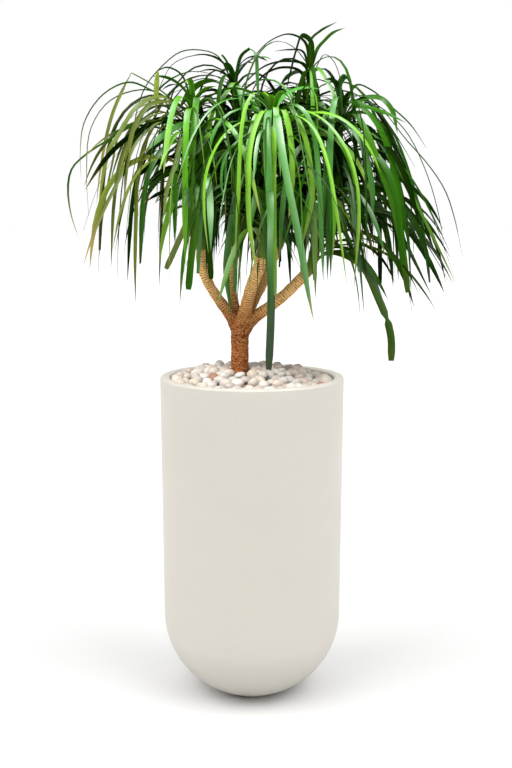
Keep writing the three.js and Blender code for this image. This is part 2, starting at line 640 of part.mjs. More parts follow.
// Stations along a path, closer together where it bends.
function stationsOf(path, count) {
  const marks = [0];
  for (let i = 1; i < path.length; i += 1) {
    const step = path[i].clone().sub(path[i - 1]);
    let turn = 0;
    if (i + 1 < path.length) {
      turn = step.angleTo(path[i + 1].clone().sub(path[i]));
    }
    marks.push(marks[i - 1] + step.length() + turn * 70);
  }
  const total = marks[marks.length - 1];
  const chosen = [0];
  for (let k = 1; k < count; k += 1) {
    const wanted = (total * k) / count;
    const i = marks.findIndex((mark) => mark >= wanted);
    if (i > chosen[chosen.length - 1] && i < path.length - 1) {
      chosen.push(i);
    }
  }
  chosen.push(path.length - 1);
  return chosen;
}

// Share of the full width along the blade: narrow at the root, full, then the tip.
function widthShare(along, blunt) {
  const opening = 0.55 + 0.45 * Math.min(1, along / 0.15);
  const closing = blunt ? 1 : Math.min(1, 2.5 * (1 - along) ** 0.8);
  return opening * closing;
}

// A strap leaf as a solid blade: flat on top, with a keel underneath.
function blade(leaf, turn) {
  const root = leaf.path[0];
  const up = new THREE.Vector3(0, 0, 1);
  const path = leaf.path.map((point) => point.clone().sub(root).applyAxisAngle(up, turn).add(root));
  const heading = path[Math.min(8, path.length - 1)].clone().sub(root);
  const sideways = new THREE.Vector3(-heading.y, heading.x, 0).normalize();
  const frames = framesAlong(path, sideways);
  const chosen = stationsOf(path, leaf.byRule ? RULE_STATIONS : SHOWN_STATIONS);
  if (leaf.blunt) {
    chosen.splice(-1, 0, path.length - 2);
  }
  const last = path.length - 1;
  const rings = [];
  for (const i of [...new Set(chosen)]) {
    const along = i / last;
    if (i === last) {
      rings.push([path[i]]);
      continue;
    }
    const angle = leaf.twist * Math.min(1, along * 2.5);
    const side = frames[i].side.clone().applyAxisAngle(frames[i].ahead, angle);
    const face = frames[i].face.clone().applyAxisAngle(frames[i].ahead, angle);
    const half = (leaf.width / 2) * widthShare(along, leaf.blunt);
    const keel = LEAF_KEEL * Math.max(0.6, Math.min(1, half / 6));
    rings.push([
      path[i].clone().addScaledVector(side, half),
      path[i].clone().addScaledVector(face, keel),
      path[i].clone().addScaledVector(side, -half),
    ]);
  }
  return loft(rings);
}

function apartFrom(solid, others) {
  const box = solid.boundingBox();
  for (const other of others) {
    const apart = [0, 1, 2].some((axis) => box.min[axis] > other.box.max[axis] + 1
      || box.max[axis] < other.box.min[axis] - 1);
    if (!apart && solid.minGap(other.solid, 1) < CLEARANCE) {
      return false;
    }
  }
  return true;
}

function withBox(solid) {
  return { solid, box: solid.boundingBox() };
}

const pot = revolved(potProfile());
const soil = makeSoil();
const pebbles = makePebbles();
const trunk = makeTrunk();
const cores = SHOOTS.map((shoot, index) => makeCore(index));
const still = [pot, pebbles, trunk].map(withBox);

// All leaves in the order in which they are fitted, the ones that show first.
const leaves = SHOWN_LEAVES.map(shownLeaf);
const random = randomFrom(7);
for (let index = RULE_LEAVES - 1; index >= 0; index -= 1) {
  for (let shoot = 0; shoot < SHOOTS.length; shoot += 1) {
    leaves.push(ruleLeaf(shoot, index, RULE_LEAVES, random));
  }
}

// A leaf that would cross another shoot is bent round its root until it is clear. A leaf by
// rule also takes the bend at which it crosses the fewest leaves of its own shoot.
function fitted(leaf, others, own) {
  let best = null;
  for (const bend of BENDS) {
    const solid = blade(leaf, bend);
    if (!apartFrom(solid, others)) {
      continue;
    }
    const crossings = leaf.byRule ? own.filter((entry) => !apartFrom(solid, [entry])).length : 0;
    if (best === null || crossings < best.crossings) {
      best = { solid, crossings };
    }
    if (crossings === 0) {
      break;
    }
  }
  return best;
}

const grown = SHOOTS.map((shoot, index) => [withBox(cores[index])]);
for (const leaf of leaves) {
  const others = [...still];
  grown.forEach((blades, index) => {
    if (index !== leaf.shoot) {
      others.push(...blades);
    }
  });
  const found = fitted(leaf, others, grown[leaf.shoot].slice(1));
  if (found !== null) {
    grown[leaf.shoot].push(withBox(found.solid));
  }
}

const palm = new THREE.Group();
palm.name = 'potted_ponytail_palm';
palm.add(meshOf(pot, 'planter', 0xe1ddd1, 0.42));
palm.add(meshOf(soil, 'potting_soil', 0x3a2a1e, 0.95));
palm.add(meshOf(pebbles, 'pebbles', 0xe4dacd, 0.75));
palm.add(meshOf(trunk, 'trunk_and_branches', 0xab7040, 0.85));
SHOOTS.forEach((shoot, index) => {
  const fused = wasm.Manifold.union(grown[index].map((entry) => entry.solid));
  const body = mainBody(fused.simplify(0.02));
  palm.add(meshOf(body, shoot.name, shoot.colour, 0.4));
});

export default palm;
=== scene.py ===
"""Looks for a potted ponytail palm: planter, soil, pebbles, wood, leaves and a plain studio."""

import math
import random
from collections import namedtuple

import bpy
import numpy as np
from bpy.props import FloatProperty, FloatVectorProperty, IntProperty
from mathutils import Euler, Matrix, Vector, kdtree, noise


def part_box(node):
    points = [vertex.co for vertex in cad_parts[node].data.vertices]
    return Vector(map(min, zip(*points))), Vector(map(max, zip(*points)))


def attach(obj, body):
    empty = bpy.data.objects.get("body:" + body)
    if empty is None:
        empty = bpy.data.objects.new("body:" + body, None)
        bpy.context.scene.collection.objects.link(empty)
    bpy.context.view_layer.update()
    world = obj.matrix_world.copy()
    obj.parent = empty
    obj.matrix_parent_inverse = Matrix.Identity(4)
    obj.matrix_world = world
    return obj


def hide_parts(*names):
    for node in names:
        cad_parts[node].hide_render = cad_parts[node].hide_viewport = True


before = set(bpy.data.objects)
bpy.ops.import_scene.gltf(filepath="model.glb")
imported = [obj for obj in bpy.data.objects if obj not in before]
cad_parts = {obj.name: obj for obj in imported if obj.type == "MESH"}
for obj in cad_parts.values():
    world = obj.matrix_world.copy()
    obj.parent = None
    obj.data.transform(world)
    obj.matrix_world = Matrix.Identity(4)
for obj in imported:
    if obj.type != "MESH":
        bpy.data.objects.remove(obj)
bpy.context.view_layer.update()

bl_info = {
    "name": "Potted ponytail palm",
    "version": (1, 0, 0),
    "blender": (4, 5, 0),
    "location": "3D View > Sidebar > Palm",
    "description": "Dresses the packed palm: planter, pebbles, wood and leaves",
    "category": "Add Mesh",
}

MM = 0.001
GOLDEN_ANGLE = math.radians(137.508)

# Planter, as in the solid part (metres).
POT_HEIGHT = 0.800
POT_RADIUS = 0.225
POT_LOW_RADIUS = 0.221
FOOT_RADIUS = 0.077
FOOT_EDGE = ((0.080, 0.0003), (0.084, 0.0014), (0.088, 0.0032))
BOWL_RADIUS = 0.211
BOWL_CENTRE_HEIGHT = 0.202
BOWL_START = 0.005
STRAIGHT_LEVELS = (0.26, 0.36, 0.46, 0.56, 0.66, 0.74)
RIM_WIDTH = 0.024
RIM_ROUNDING = 0.006
RIM_INNER_LEVELS = (0.77, 0.738)
INNER_WALL_TOP = 0.700
WALL = 0.015
FLOOR = 0.028
POT_SIDES = 160

# Pebble bed (metres): two layers over the soil, and two rings of stones along the wall.
BED_TOP = 0.772
BED_MOUND = 0.034
MOUND_CENTRE = (-0.015, 0.075)
MOUND_REACH = 0.190
BED_REACH = 0.172
WALL_RING = 0.185
BED_LIMIT = 0.1975
BED_LEVELS = (0.7365, 0.8165)
HIGHEST_STONE = 0.816
LAYER_DROP = 0.016
UNEVEN = 0.006
TRUNK_CLEARANCE = 0.034
STONE_MODELS = 6
STONE_SHARES = {"pale": 0.40, "cream": 0.30, "pink": 0.10, "grey": 0.195, "rust": 0.005}

# Trunk and branches: centre lines in millimetres, radii at the start and at the end. The
# allowance is the thickness that the smoothing and the grooves take off again.
TRUNK_PLACE = (-30, 25)
TRUNK_RADIUS = 22
TRUNK_SIDES = 32
BRANCH_SIDES = 24
TRUNK_ALLOWANCE = 0.5
BRANCH_ALLOWANCE = 0.8
WOOD_STEPS = 40
TRUNK_LINE = [(640, 0.62), (700, 0.9), (760, 1), (800, 1), (830, 0.98), (870, 0.97),
              (900, 1.02), (925, 0.9)]
BRANCHES = [
    (17, 12, [[-34, 24, 908], [-51, 21, 944], [-78, 14, 981], [-108, 6, 1030],
              [-122, -1, 1076], [-123, -5, 1108]]),
    (16, 11, [[-33, 30, 915], [-43, 40, 962], [-49, 52, 1003], [-49, 60, 1045],
              [-41, 70, 1110]]),
    (20, 14, [[-27, 20, 905], [-19, 4, 944], [-11, -12, 982], [-1, -28, 1020],
              [13, -42, 1057], [22, -52, 1092]]),
    (16, 11, [[-24, 30, 905], [-8, 40, 952], [8, 50, 985], [24, 60, 1013],
              [41, 74, 1052], [64, 92, 1106]]),
    (17, 13, [[-25, 24, 900], [-4, 12, 932], [15, 4, 949], [38, -1, 966],
              [62, -6, 984], [88, -9, 1007], [130, -12, 1050]]),
]

# Shoots: name, radius at the base and at the tip, and the way that the core goes up.
SHOOTS = [
    ("left", 12, 13, [[-125, -10, 1200], [-132, -16, 1320], [-140, -20, 1440]]),
    ("rear_left", 11, 12, [[-38, 72, 1250], [-40, 71, 1400], [-42, 70, 1515]]),
    ("front", 14, 13, [[32, -72, 1180], [42, -92, 1300], [48, -110, 1420]]),
    ("rear_right", 11, 12, [[88, 100, 1230], [120, 106, 1390], [148, 110, 1555]]),
    ("right", 13, 13, [[155, -14, 1130], [190, -12, 1290], [215, -10, 1445]]),
]
CROWN_CENTRE = (35, 15)
CROWN_REACH = (462, 440)
HANG_ANGLE = math.radians(86)

# Camera: its distance and height in millimetres, its pitch in degrees, its sensor and shift.
VIEW_DISTANCE = 2590
VIEW_HEIGHT = 1187
VIEW_PITCH = 81.04
SENSOR_WIDTH = 36
VIEW_SHIFT = 4 / 768

# Leaves that stand out in the front view. Each row holds the shoot, the place of the root
# along the shoot, the width, whether the end is blunt, the twist in degrees, the number of
# the point where the blade is folded (0 for none), the tint, and the points that it goes
# through: across, depth and height, where across and height are as they look on the axis
# plane.
SHOWN_LEAVES = [
    [1, 0.96, 8, 0, 36, 0, "deep", [[-236, 12, 1478], [-289, 20, 1497], [-350, 30, 1470],
     [-396, 45, 1407], [-408, 55, 1340], [-408, 60, 1278]]],
    [1, 0.9, 8, 0, 36, 0, "deep", [[-200, -20, 1445], [-262, -30, 1410], [-332, -40, 1369],
     [-389, -50, 1335], [-428, -55, 1299], [-439, -60, 1259], [-435, -60, 1196],
     [-416, -60, 1130]]],
    [1, 0.95, 12, 0, 70, 2, "olive", [[-232, 60, 1490], [-284, 70, 1519], [-330, 80, 1424],
     [-361, 85, 1297], [-372, 85, 1215]]],
    [1, 0.9, 13, 0, 60, 0, "olive", [[-205, -50, 1462], [-270, -75, 1443], [-315, -85, 1378],
     [-339, -90, 1342], [-356, -90, 1278], [-368, -90, 1200]]],
    [1, 0.9, 13, 0, 70, 0, "olive", [[-190, -80, 1450], [-239, -110, 1447], [-275, -120, 1404],
     [-294, -125, 1338], [-301, -130, 1278], [-306, -130, 1220]]],
    [1, 0.85, 11, 0, 60, 0, "olive", [[-208, -50, 1409], [-272, -70, 1361], [-308, -80, 1290],
     [-361, -90, 1189], [-392, -92, 1115], [-408, -92, 1065]]],
    [1, 0.97, 15, 0, 85, 3, "yellow", [[-165, -30, 1512], [-200, -40, 1531], [-221, -45, 1524],
     [-225, -50, 1488], [-227, -52, 1426]]],
    [2, 0.97, 9, 0, 30, 0, "deep", [[-80, 72, 1556], [-119, 75, 1570], [-167, 78, 1566],
     [-215, 80, 1530], [-251, 82, 1486], [-272, 84, 1430], [-289, 84, 1338]]],
    [2, 0.95, 7, 0, 32, 0, "deep", [[-70, 50, 1545], [-112, 50, 1560], [-184, 48, 1540],
     [-220, 46, 1481], [-244, 44, 1433], [-260, 44, 1362]]],
    [2, 0.98, 14, 0, 0, 2, "blue", [[-25, 60, 1556], [-4, 50, 1574], [8, 35, 1560],
     [12, 25, 1505], [16, 22, 1440]]],
    [2, 0.97, 9, 1, 0, 0, "deep", [[-60, 92, 1545], [-71, 98, 1560]]],
    [4, 0.97, 10, 0, 24, 0, "deep", [[128, 105, 1580], [112, 95, 1598], [82, 85, 1606],
     [39, 75, 1589], [10, 65, 1562], [-21, 60, 1530], [-40, 58, 1500]]],
    [4, 0.97, 6, 0, 0, 0, "deep", [[136, 118, 1590], [160, 135, 1614], [198, 160, 1634]]],
    [4, 0.97, 10, 0, 20, 0, "deep", [[153, 125, 1572], [170, 138, 1592], [190, 148, 1610],
     [218, 160, 1621]]],
    [4, 0.95, 8, 0, 10, 0, "deep", [[120, 95, 1566], [85, 85, 1571], [52, 80, 1568]]],
    [4, 0.9, 9, 0, 15, 0, "deep", [[125, 90, 1535], [82, 70, 1545], [40, 60, 1538],
     [12, 55, 1522], [-28, 50, 1480], [-45, 48, 1440]]],
    [4, 0.88, 9, 0, -15, 0, "deep", [[115, 90, 1520], [72, 80, 1531], [30, 70, 1515],
     [5, 65, 1485], [-10, 62, 1445]]],
    [4, 0.93, 8, 0, 10, 0, "middle", [[170, 115, 1560], [190, 120, 1547], [206, 125, 1510],
     [214, 128, 1450]]],
    [4, 0.97, 12, 0, 20, 0, "deep", [[138, 100, 1590], [118, 90, 1603], [104, 75, 1570],
     [92, 65, 1525], [78, 60, 1470]]],
    [2, 0.9, 16, 0, 0, 0, "bright", [[-40, 20, 1496], [-60, -20, 1472], [-93, -50, 1426],
     [-105, -75, 1366], [-112, -85, 1300], [-117, -88, 1240]]],
    [3, 0.9, 14, 0, 0, 0, "bright", [[-9, -160, 1408], [-52, -185, 1388], [-88, -200, 1342],
     [-110, -208, 1278], [-114, -212, 1194], [-105, -212, 1098]]],
    [1, 0.93, 15, 0, 0, 0, "fresh", [[-130, -60, 1462], [-138, -105, 1392], [-142, -120, 1330],
     [-143, -128, 1268], [-144, -130, 1208], [-150, -130, 1160]]],
    [3, 0.95, 13, 0, 0, 0, "bright", [[30, -150, 1432], [9, -185, 1397], [-5, -205, 1338],
     [-9, -212, 1254], [-5, -212, 1158], [12, -210, 1050]]],
    [2, 0.93, 13, 0, 0, 0, "blue", [[-34, 10, 1490], [-24, -40, 1455], [-16, -70, 1400],
     [-14, -85, 1330], [-14, -88, 1270]]],
    [3, 0.93, 11, 0, 0, 0, "bright", [[14, -140, 1425], [-4, -166, 1380], [-12, -180, 1325],
     [-14, -184, 1250]]],
    [3, 0.96, 18, 1, 0, 0, "blue", [[40, -150, 1433], [36, -180, 1385], [38, -200, 1310],
     [46, -208, 1190], [47, -205, 1036], [46, -192, 936], [41, -172, 814]]],
    [3, 0.97, 13, 0, 0, 0, "bright", [[56, -150, 1440], [57, -172, 1400], [54, -182, 1345],
     [52, -184, 1285]]],
    [3, 0.95, 14, 0, 0, 0, "bright", [[72, -145, 1434], [86, -175, 1395], [95, -188, 1330],
     [94, -192, 1245], [88, -190, 1180]]],
    [3, 0.94, 15, 0, 0, 0, "bright", [[85, -130, 1440], [108, -160, 1410], [127, -180, 1364],
     [139, -190, 1297], [144, -195, 1237], [132, -195, 1170], [117, -193, 1105]]],
    [3, 0.97, 15, 0, 0, 2, "bright", [[84, -105, 1440], [130, -105, 1493], [148, -115, 1470],
     [154, -122, 1400], [153, -124, 1330], [150, -124, 1262]]],
    [4, 0.9, 9, 0, 20, 0, "fresh", [[150, 60, 1530], [175, 10, 1502], [195, -15, 1462],
     [201, -25, 1400], [202, -28, 1330]]],
    [3, 0.9, 12, 0, 20, 0, "bright", [[110, -140, 1432], [163, -165, 1414], [196, -178, 1383],
     [230, -188, 1330], [252, -194, 1250], [256, -196, 1170], [251, -195, 1080],
     [247, -194, 1010]]],
    [3, 0.92, 15, 0, 0, 0, "fresh", [[120, -160, 1420], [158, -195, 1368], [180, -208, 1310],
     [195, -214, 1230], [197, -216, 1150], [194, -215, 1085]]],
    [3, 0.95, 16, 0, 0, 0, "blue", [[58, -170, 1420], [68, -215, 1360], [80, -232, 1290],
     [100, -240, 1195], [122, -240, 1086], [136, -236, 1003], [150, -232, 935]]],
    [5, 0.95, 14, 0, 20, 0, "blue", [[205, -30, 1490], [218, -45, 1510], [232, -58, 1492],
     [243, -66, 1440], [255, -72, 1395], [264, -75, 1350]]],
    [5, 0.95, 9, 0, 32, 0, "deep", [[245, 5, 1490], [280, 12, 1480], [330, 18, 1440],
     [375, 22, 1400], [414, 24, 1347]]],
    [5, 0.93, 12, 0, 70, 0, "middle", [[250, -20, 1455], [300, -30, 1462], [330, -36, 1435],
     [345, -40, 1380]]],
    [5, 0.9, 13, 0, 60, 0, "middle", [[235, -50, 1452], [275, -62, 1440], [318, -70, 1426],
     [364, -78, 1405]]],
    [5, 0.85, 14, 0, 20, 0, "blue", [[222, -80, 1400], [255, -120, 1365], [276, -135, 1310],
     [288, -140, 1237], [287, -140, 1165]]],
    [5, 0.9, 15, 1, 50, 0, "fresh", [[240, -60, 1425], [270, -95, 1385], [299, -112, 1315],
     [330, -120, 1237], [352, -120, 1160], [366, -118, 1090], [378, -115, 1003]]],
    [5, 0.92, 14, 1, 40, 0, "middle", [[265, 10, 1455], [325, 18, 1395], [370, 22, 1300],
     [400, 22, 1190], [418, 20, 1100], [430, 20, 1027]]],
    [5, 0.9, 7, 0, 40, 0, "deep", [[290, 25, 1440], [370, 35, 1360], [425, 38, 1300],
     [462, 36, 1245], [486, 34, 1180], [509, 30, 1087]]],
    [5, 0.05, 8, 0, 10, 0, "olive", [[175, -30, 1092], [211, -40, 1103], [251, -50, 1094],
     [290, -60, 1055], [310, -62, 1010]]],
    [5, 0.1, 15, 1, 40, 5, "fresh", [[190, -40, 1095], [235, -55, 1085], [270, -62, 1060],
     [306, -68, 991], [330, -70, 936], [340, -72, 890], [341, -72, 836]]],
    [1, 0.3, 17, 1, 30, 0, "olive", [[-140, -45, 1215], [-155, -65, 1175], [-179, -72, 1122],
     [-208, -75, 1060]]],
    [1, 0.28, 17, 1, 0, 0, "middle", [[-132, -45, 1200], [-138, -62, 1150], [-147, -66, 1080],
     [-154, -66, 1010]]],
    [1, 0.35, 14, 1, -10, 0, "deep", [[-115, -60, 1215], [-106, -85, 1170], [-103, -90, 1110],
     [-99, -90, 1036]]],
    [2, 0.35, 16, 0, 0, 0, "middle", [[-30, 20, 1290], [-34, -50, 1262], [-43, -90, 1208],
     [-57, -105, 1120], [-62, -108, 1051], [-50, -108, 945]]],
    [1, 0.88, 13, 0, 60, 0, "yellow", [[-196, -10, 1425], [-250, -20, 1365], [-272, -25, 1280],
     [-278, -28, 1180], [-282, -30, 1080], [-283, -30, 981]]],
    [1, 0.9, 11, 0, 50, 0, "olive", [[-235, 25, 1450], [-303, 35, 1405], [-334, 40, 1302],
     [-357, 42, 1194], [-372, 42, 1060]]],
    [1, 0.86, 12, 0, 50, 0, "olive", [[-215, -45, 1430], [-275, -60, 1395], [-312, -68, 1320],
     [-330, -72, 1218], [-341, -74, 1060]]],
    [1, 0.93, 10, 0, 30, 0, "olive", [[-240, 60, 1462], [-322, 80, 1405], [-350, 88, 1302],
     [-363, 90, 1194], [-372, 90, 1050]]],
    [1, 0.95, 7, 0, 36, 0, "deep", [[-250, 95, 1480], [-335, 120, 1455], [-382, 130, 1390],
     [-394, 132, 1290], [-392, 132, 1187]]],
    [1, 0.7, 12, 0, 60, 0, "middle", [[-170, -50, 1360], [-215, -80, 1340], [-245, -92, 1290],
     [-260, -96, 1220], [-266, -97, 1150], [-272, -97, 1070]]],
    [1, 0.85, 14, 0, 75, 0, "blue", [[-160, -90, 1400], [-205, -125, 1380],
     [-258, -140, 1335]]],
    [1, 0.75, 13, 0, 40, 0, "olive", [[-165, -75, 1370], [-182, -105, 1310], [-203, -112, 1249],
     [-213, -114, 1180]]],
    [1, 0.7, 12, 0, 20, 0, "middle", [[-160, -50, 1370], [-178, -66, 1310], [-183, -72, 1242],
     [-187, -74, 1122]]],
    [3, 0.8, 14, 0, 0, 0, "blue", [[10, -150, 1385], [-30, -175, 1365], [-62, -188, 1328],
     [-73, -192, 1271], [-66, -192, 1215]]],
    [5, 0.9, 13, 0, 50, 0, "middle", [[250, -70, 1440], [300, -100, 1395], [340, -112, 1290],
     [365, -115, 1180], [385, -112, 1085]]],
    [5, 0.88, 12, 0, 40, 0, "middle", [[255, 40, 1430], [330, 60, 1370], [385, 70, 1260],
     [415, 74, 1140], [432, 74, 1040]]],
    [5, 0.93, 10, 0, 30, 0, "deep", [[280, 50, 1450], [360, 70, 1390], [415, 80, 1290],
     [450, 82, 1180], [468, 82, 1075]]],
]


def tone(red, green, blue):
    """A display colour, 0 to 255, as the light values that a shader takes."""
    def lit(value):
        share = value / 255
        return share / 12.92 if share <= 0.04045 else ((share + 0.055) / 1.055) ** 2.4
    return (lit(red), lit(green), lit(blue))


def colour_property(name, description, red, green, blue):
    """A colour that a user can change, with a display colour as its default."""
    return FloatVectorProperty(name=name, description=description, subtype="COLOR", size=3,
                               min=0.0, max=1.0, default=tone(red, green, blue))


def length_property(name, description, default):
    """A length that a user can change, in metres."""
    return FloatProperty(name=name, description=description, subtype="DISTANCE",
                         unit="LENGTH", min=0.0, default=default)


def share_property(name, description, default):
    """A share between 0 and 1 that a user can change."""
    return FloatProperty(name=name, description=description, subtype="FACTOR",
                         min=0.0, max=1.0, default=default)


class PALM_PG_planter(bpy.types.PropertyGroup):
    """Size and finish of the planter"""
    height: length_property("Height", "Height of the planter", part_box("planter")[1].z)
    radius: length_property("Radius", "Outer radius at the rim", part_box("planter")[1].x)
    glaze: colour_property("Glaze", "Colour of the planter", 215, 210, 199)
    sheen: share_property("Roughness", "Roughness of the glaze", 0.42)


class PALM_PG_bed(bpy.types.PropertyGroup):
    """Soil and pebbles"""
    soil: colour_property("Soil", "Colour of the potting soil", 62, 44, 32)
    stone_length: length_property("Stone", "Usual length of a pebble", 0.033)
    pale: colour_property("Off-white", "Palest pebbles", 252, 248, 241)
    cream: colour_property("Cream", "Cream pebbles", 248, 236, 221)
    pink: colour_property("Pink", "Pinkish pebbles", 245, 229, 218)
    grey: colour_property("Grey", "Grey-beige pebbles", 230, 221, 211)
    rust: colour_property("Rust", "The few reddish pebbles", 206, 158, 130)
    seed: IntProperty(name="Seed", description="Seed of the pebble bed", default=5)


class PALM_PG_wood(bpy.types.PropertyGroup):
    """Trunk and branches"""
    trunk: colour_property("Trunk", "Bark of the trunk", 166, 90, 35)
    branch: colour_property("Branch", "Bark of the branches", 255, 208, 128)
    scar: colour_property("Scar", "Grooves between the leaf scars", 62, 28, 8)
    trunk_ring: length_property("Trunk ring", "Distance between rings on the trunk", 0.0062)
    branch_ring: length_property("Branch ring", "Distance between rings on a branch", 0.0056)
    ring_depth: length_property("Ring depth", "Depth of the grooves", 0.0011)
    grain: length_property("Grain", "Fineness of the wood mesh", 0.00135)


class PALM_PG_leaves(bpy.types.PropertyGroup):
    """Leaves of the five shoots"""
    bright: colour_property("Bright", "Sunlit yellow-green leaves", 130, 190, 54)
    fresh: colour_property("Fresh", "Fresh green leaves", 96, 166, 34)
    middle: colour_property("Middle", "Plain green leaves", 64, 132, 16)
    blue: colour_property("Blue-green", "Leaves with a pale bloom", 84, 152, 62)
    deep: colour_property("Deep", "Dark leaves", 46, 88, 8)
    olive: colour_property("Olive", "Ageing olive leaves", 134, 148, 70)
    yellow: colour_property("Yellow", "Yellowing leaves", 160, 178, 70)
    base: colour_property("Base", "Leaf bases at the shoots", 140, 160, 56)
    dry: colour_property("Dry", "Dry tips", 172, 148, 92)
    # The middle of each blade's underside is darkened to this share, partly for the duller
    # underside and partly as painted shade.
    underside: FloatProperty(name="Underside", description="Brightness of the middle of the "
                             "underside", default=0.5, min=0.0, max=1.0)
    # Painted highlight: pale colour mixed into a blade where it bends over.
    painted_highlight: colour_property("Painted highlight", "Pale shine where a leaf bends over", 198, 224, 198)
    gloss: share_property("Roughness", "Roughness of a leaf", 0.38)
    full: IntProperty(name="Full leaves", description="Arching leaves by rule on each shoot",
                      default=20, min=0)
    more: IntProperty(name="More leaves", description="Further arching leaves on each shoot",
                      default=30, min=0)
    rising: IntProperty(name="Rising leaves", description="Steep leaves low on each shoot",
                        default=20, min=0)
    skirt: IntProperty(name="Skirt leaves", description="Low leaves that hang outward",
                       default=32, min=0)
    # Inner leaves are painted dark, as shade inside the crown.
    inner: IntProperty(name="Inner leaves", description="Short dark leaves inside the crown",
                       default=26, min=0)
    spears: IntProperty(name="Spears", description="Young upright leaves on each tip",
                        default=7, min=0)
    narrow: IntProperty(name="Narrow leaves", description="Thin leaves that arch out furthest",
                        default=12, min=0)


class PALM_PG_stage(bpy.types.PropertyGroup):
    """Floor, lights and camera"""
    floor: colour_property("Floor", "Colour of the floor", 244, 244, 244)
    world: FloatProperty(name="Surrounding light", description="Strength of the plain white "
                         "light from all round", default=0.25, min=0.0)
    side: FloatProperty(name="Side lights", description="Strength of the two broad lights at "
                        "the sides", default=1.4, min=0.0)
    key: FloatProperty(name="Key light", description="Strength of the light from above and in "
                       "front, which falls on the palm alone", default=3.2, min=0.0)
    top: FloatProperty(name="Rim light", description="Strength of the light from above that "
                       "falls on the planter alone", default=2.3, min=0.0)
    below: FloatProperty(name="Floor light", description="Strength of the wide light that "
                         "falls on the floor alone", default=1.5, min=0.0)
    lens: FloatProperty(name="Lens", description="Focal length of the camera",
                        subtype="DISTANCE_CAMERA", default=50.0, min=1.0)


# Helpers for meshes and materials.
def deselect():
    """Leaves edit mode and lets go of everything."""
    if bpy.context.object is not None and bpy.context.object.mode != "OBJECT":
        bpy.ops.object.mode_set(mode="OBJECT")
    bpy.ops.object.select_all(action="DESELECT")


def only(piece):
    """Selects one piece and makes it the active one."""
    deselect()
    piece.select_set(True)
    bpy.context.view_layer.objects.active = piece


def places(mesh):
    """Where the points of a mesh are, a row for each."""
    values = np.empty(len(mesh.vertices) * 3, np.float32)
    mesh.vertices.foreach_get("co", values)
    return values.reshape(-1, 3).astype(float)


def set_places(mesh, values):
    """Moves the points of a mesh to the given rows."""
    mesh.vertices.foreach_set("co", np.asarray(values, np.float32).ravel())
    mesh.update()


def paint(mesh, name, colours):
    """One colour for each vertex."""
    layer = mesh.color_attributes.new(name, "FLOAT_COLOR", "POINT")
    rows = np.ones((len(mesh.vertices), 4), np.float32)
    rows[:, :3] = colours
    layer.data.foreach_set("color", rows.ravel())


def measure(mesh, name, values):
    """One number for each vertex."""
    layer = mesh.attributes.new(name, "FLOAT", "POINT")
    layer.data.foreach_set("value", np.asarray(values, np.float32))


def joined(pieces, name):
    """The pieces as one, with its mesh named as it is."""
    deselect()
    for piece in pieces:
        piece.select_set(True)
    bpy.context.view_layer.objects.active = pieces[0]
    if len(pieces) > 1:
        bpy.ops.object.join()
    made = bpy.context.object
    made.name = name
    made.data.name = name
    return made


def settled(piece, node, material):
    """Gives a finished piece its material and its body, and hides the solid part that it stands
    in for.
    """
    piece.data.materials.clear()
    piece.data.materials.append(material)
    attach(piece, "root")
    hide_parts(node)


def blank_material(name):
    """A new material, with its tree and its shader."""
    material = bpy.data.materials.new(name)
    material.use_nodes = True
    return material, material.node_tree, material.node_tree.nodes["Principled BSDF"]


def add_node(tree, kind, options=None, **sockets):
    """A node with its options set and its sockets fed by name."""
    made = tree.nodes.new(kind)
    for key, value in (options or {}).items():
        setattr(made, key, value)
    for key, value in sockets.items():
        feed(tree, made.inputs[key.replace("_", " ")], value)
    return made


def feed(tree, socket, value):
    """Links another socket to this one, or sets its value."""
    if isinstance(value, bpy.types.NodeSocket):
        tree.links.new(value, socket)
    else:
        socket.default_value = value


def mixed(tree, factor, first, second, blend="MIX"):
    """Mixes two colours and returns the socket of the result."""
    made = add_node(tree, "ShaderNodeMix", {"data_type": "RGBA", "blend_type": blend})
    feed(tree, made.inputs[0], factor)
    for socket, value in ((made.inputs[6], first), (made.inputs[7], second)):
        feed(tree, socket, value if isinstance(value, bpy.types.NodeSocket)
             else (*value, 1.0))
    return made.outputs[2]


def ranged(tree, value, low, high, to_low, to_high):
    """Carries a value over from one range to another."""
    made = add_node(tree, "ShaderNodeMapRange", Value=value, From_Min=low, From_Max=high,
                    To_Min=to_low, To_Max=to_high)
    return made.outputs["Result"]


def product(tree, first, second):
    """Multiplies two values."""
    made = add_node(tree, "ShaderNodeMath", {"operation": "MULTIPLY"})
    feed(tree, made.inputs[0], first)
    feed(tree, made.inputs[1], second)
    return made.outputs[0]


def attribute(tree, name, output="Fac"):
    """What each point of the mesh carries under a name."""
    return add_node(tree, "ShaderNodeAttribute", {"attribute_name": name}).outputs[output]


def cloud(tree, vector, scale, detail=3.0, roughness=0.5):
    """A cloudy pattern between 0 and 1."""
    made = add_node(tree, "ShaderNodeTexNoise", Vector=vector, Scale=scale, Detail=detail,
                    Roughness=roughness)
    return made.outputs["Fac"]


def bump(tree, shader, height, strength, distance):
    """Roughens the shading of a surface by a pattern of heights."""
    made = add_node(tree, "ShaderNodeBump", Strength=strength, Distance=distance,
                    Height=height)
    tree.links.new(made.outputs["Normal"], shader.inputs["Normal"])


def chosen(draw, shares):
    """One of the names, each as often as its share."""
    pick, total = draw.random(), 0.0
    for name, share in shares.items():
        total += share
        if pick <= total:
            break
    return name


# Planter.
def outer_radius_at(height):
    """Radius of the straight wall, which widens a little toward the rim."""
    share = (height - BOWL_CENTRE_HEIGHT) / (POT_HEIGHT - BOWL_CENTRE_HEIGHT)
    return POT_LOW_RADIUS + (POT_RADIUS - POT_LOW_RADIUS) * share


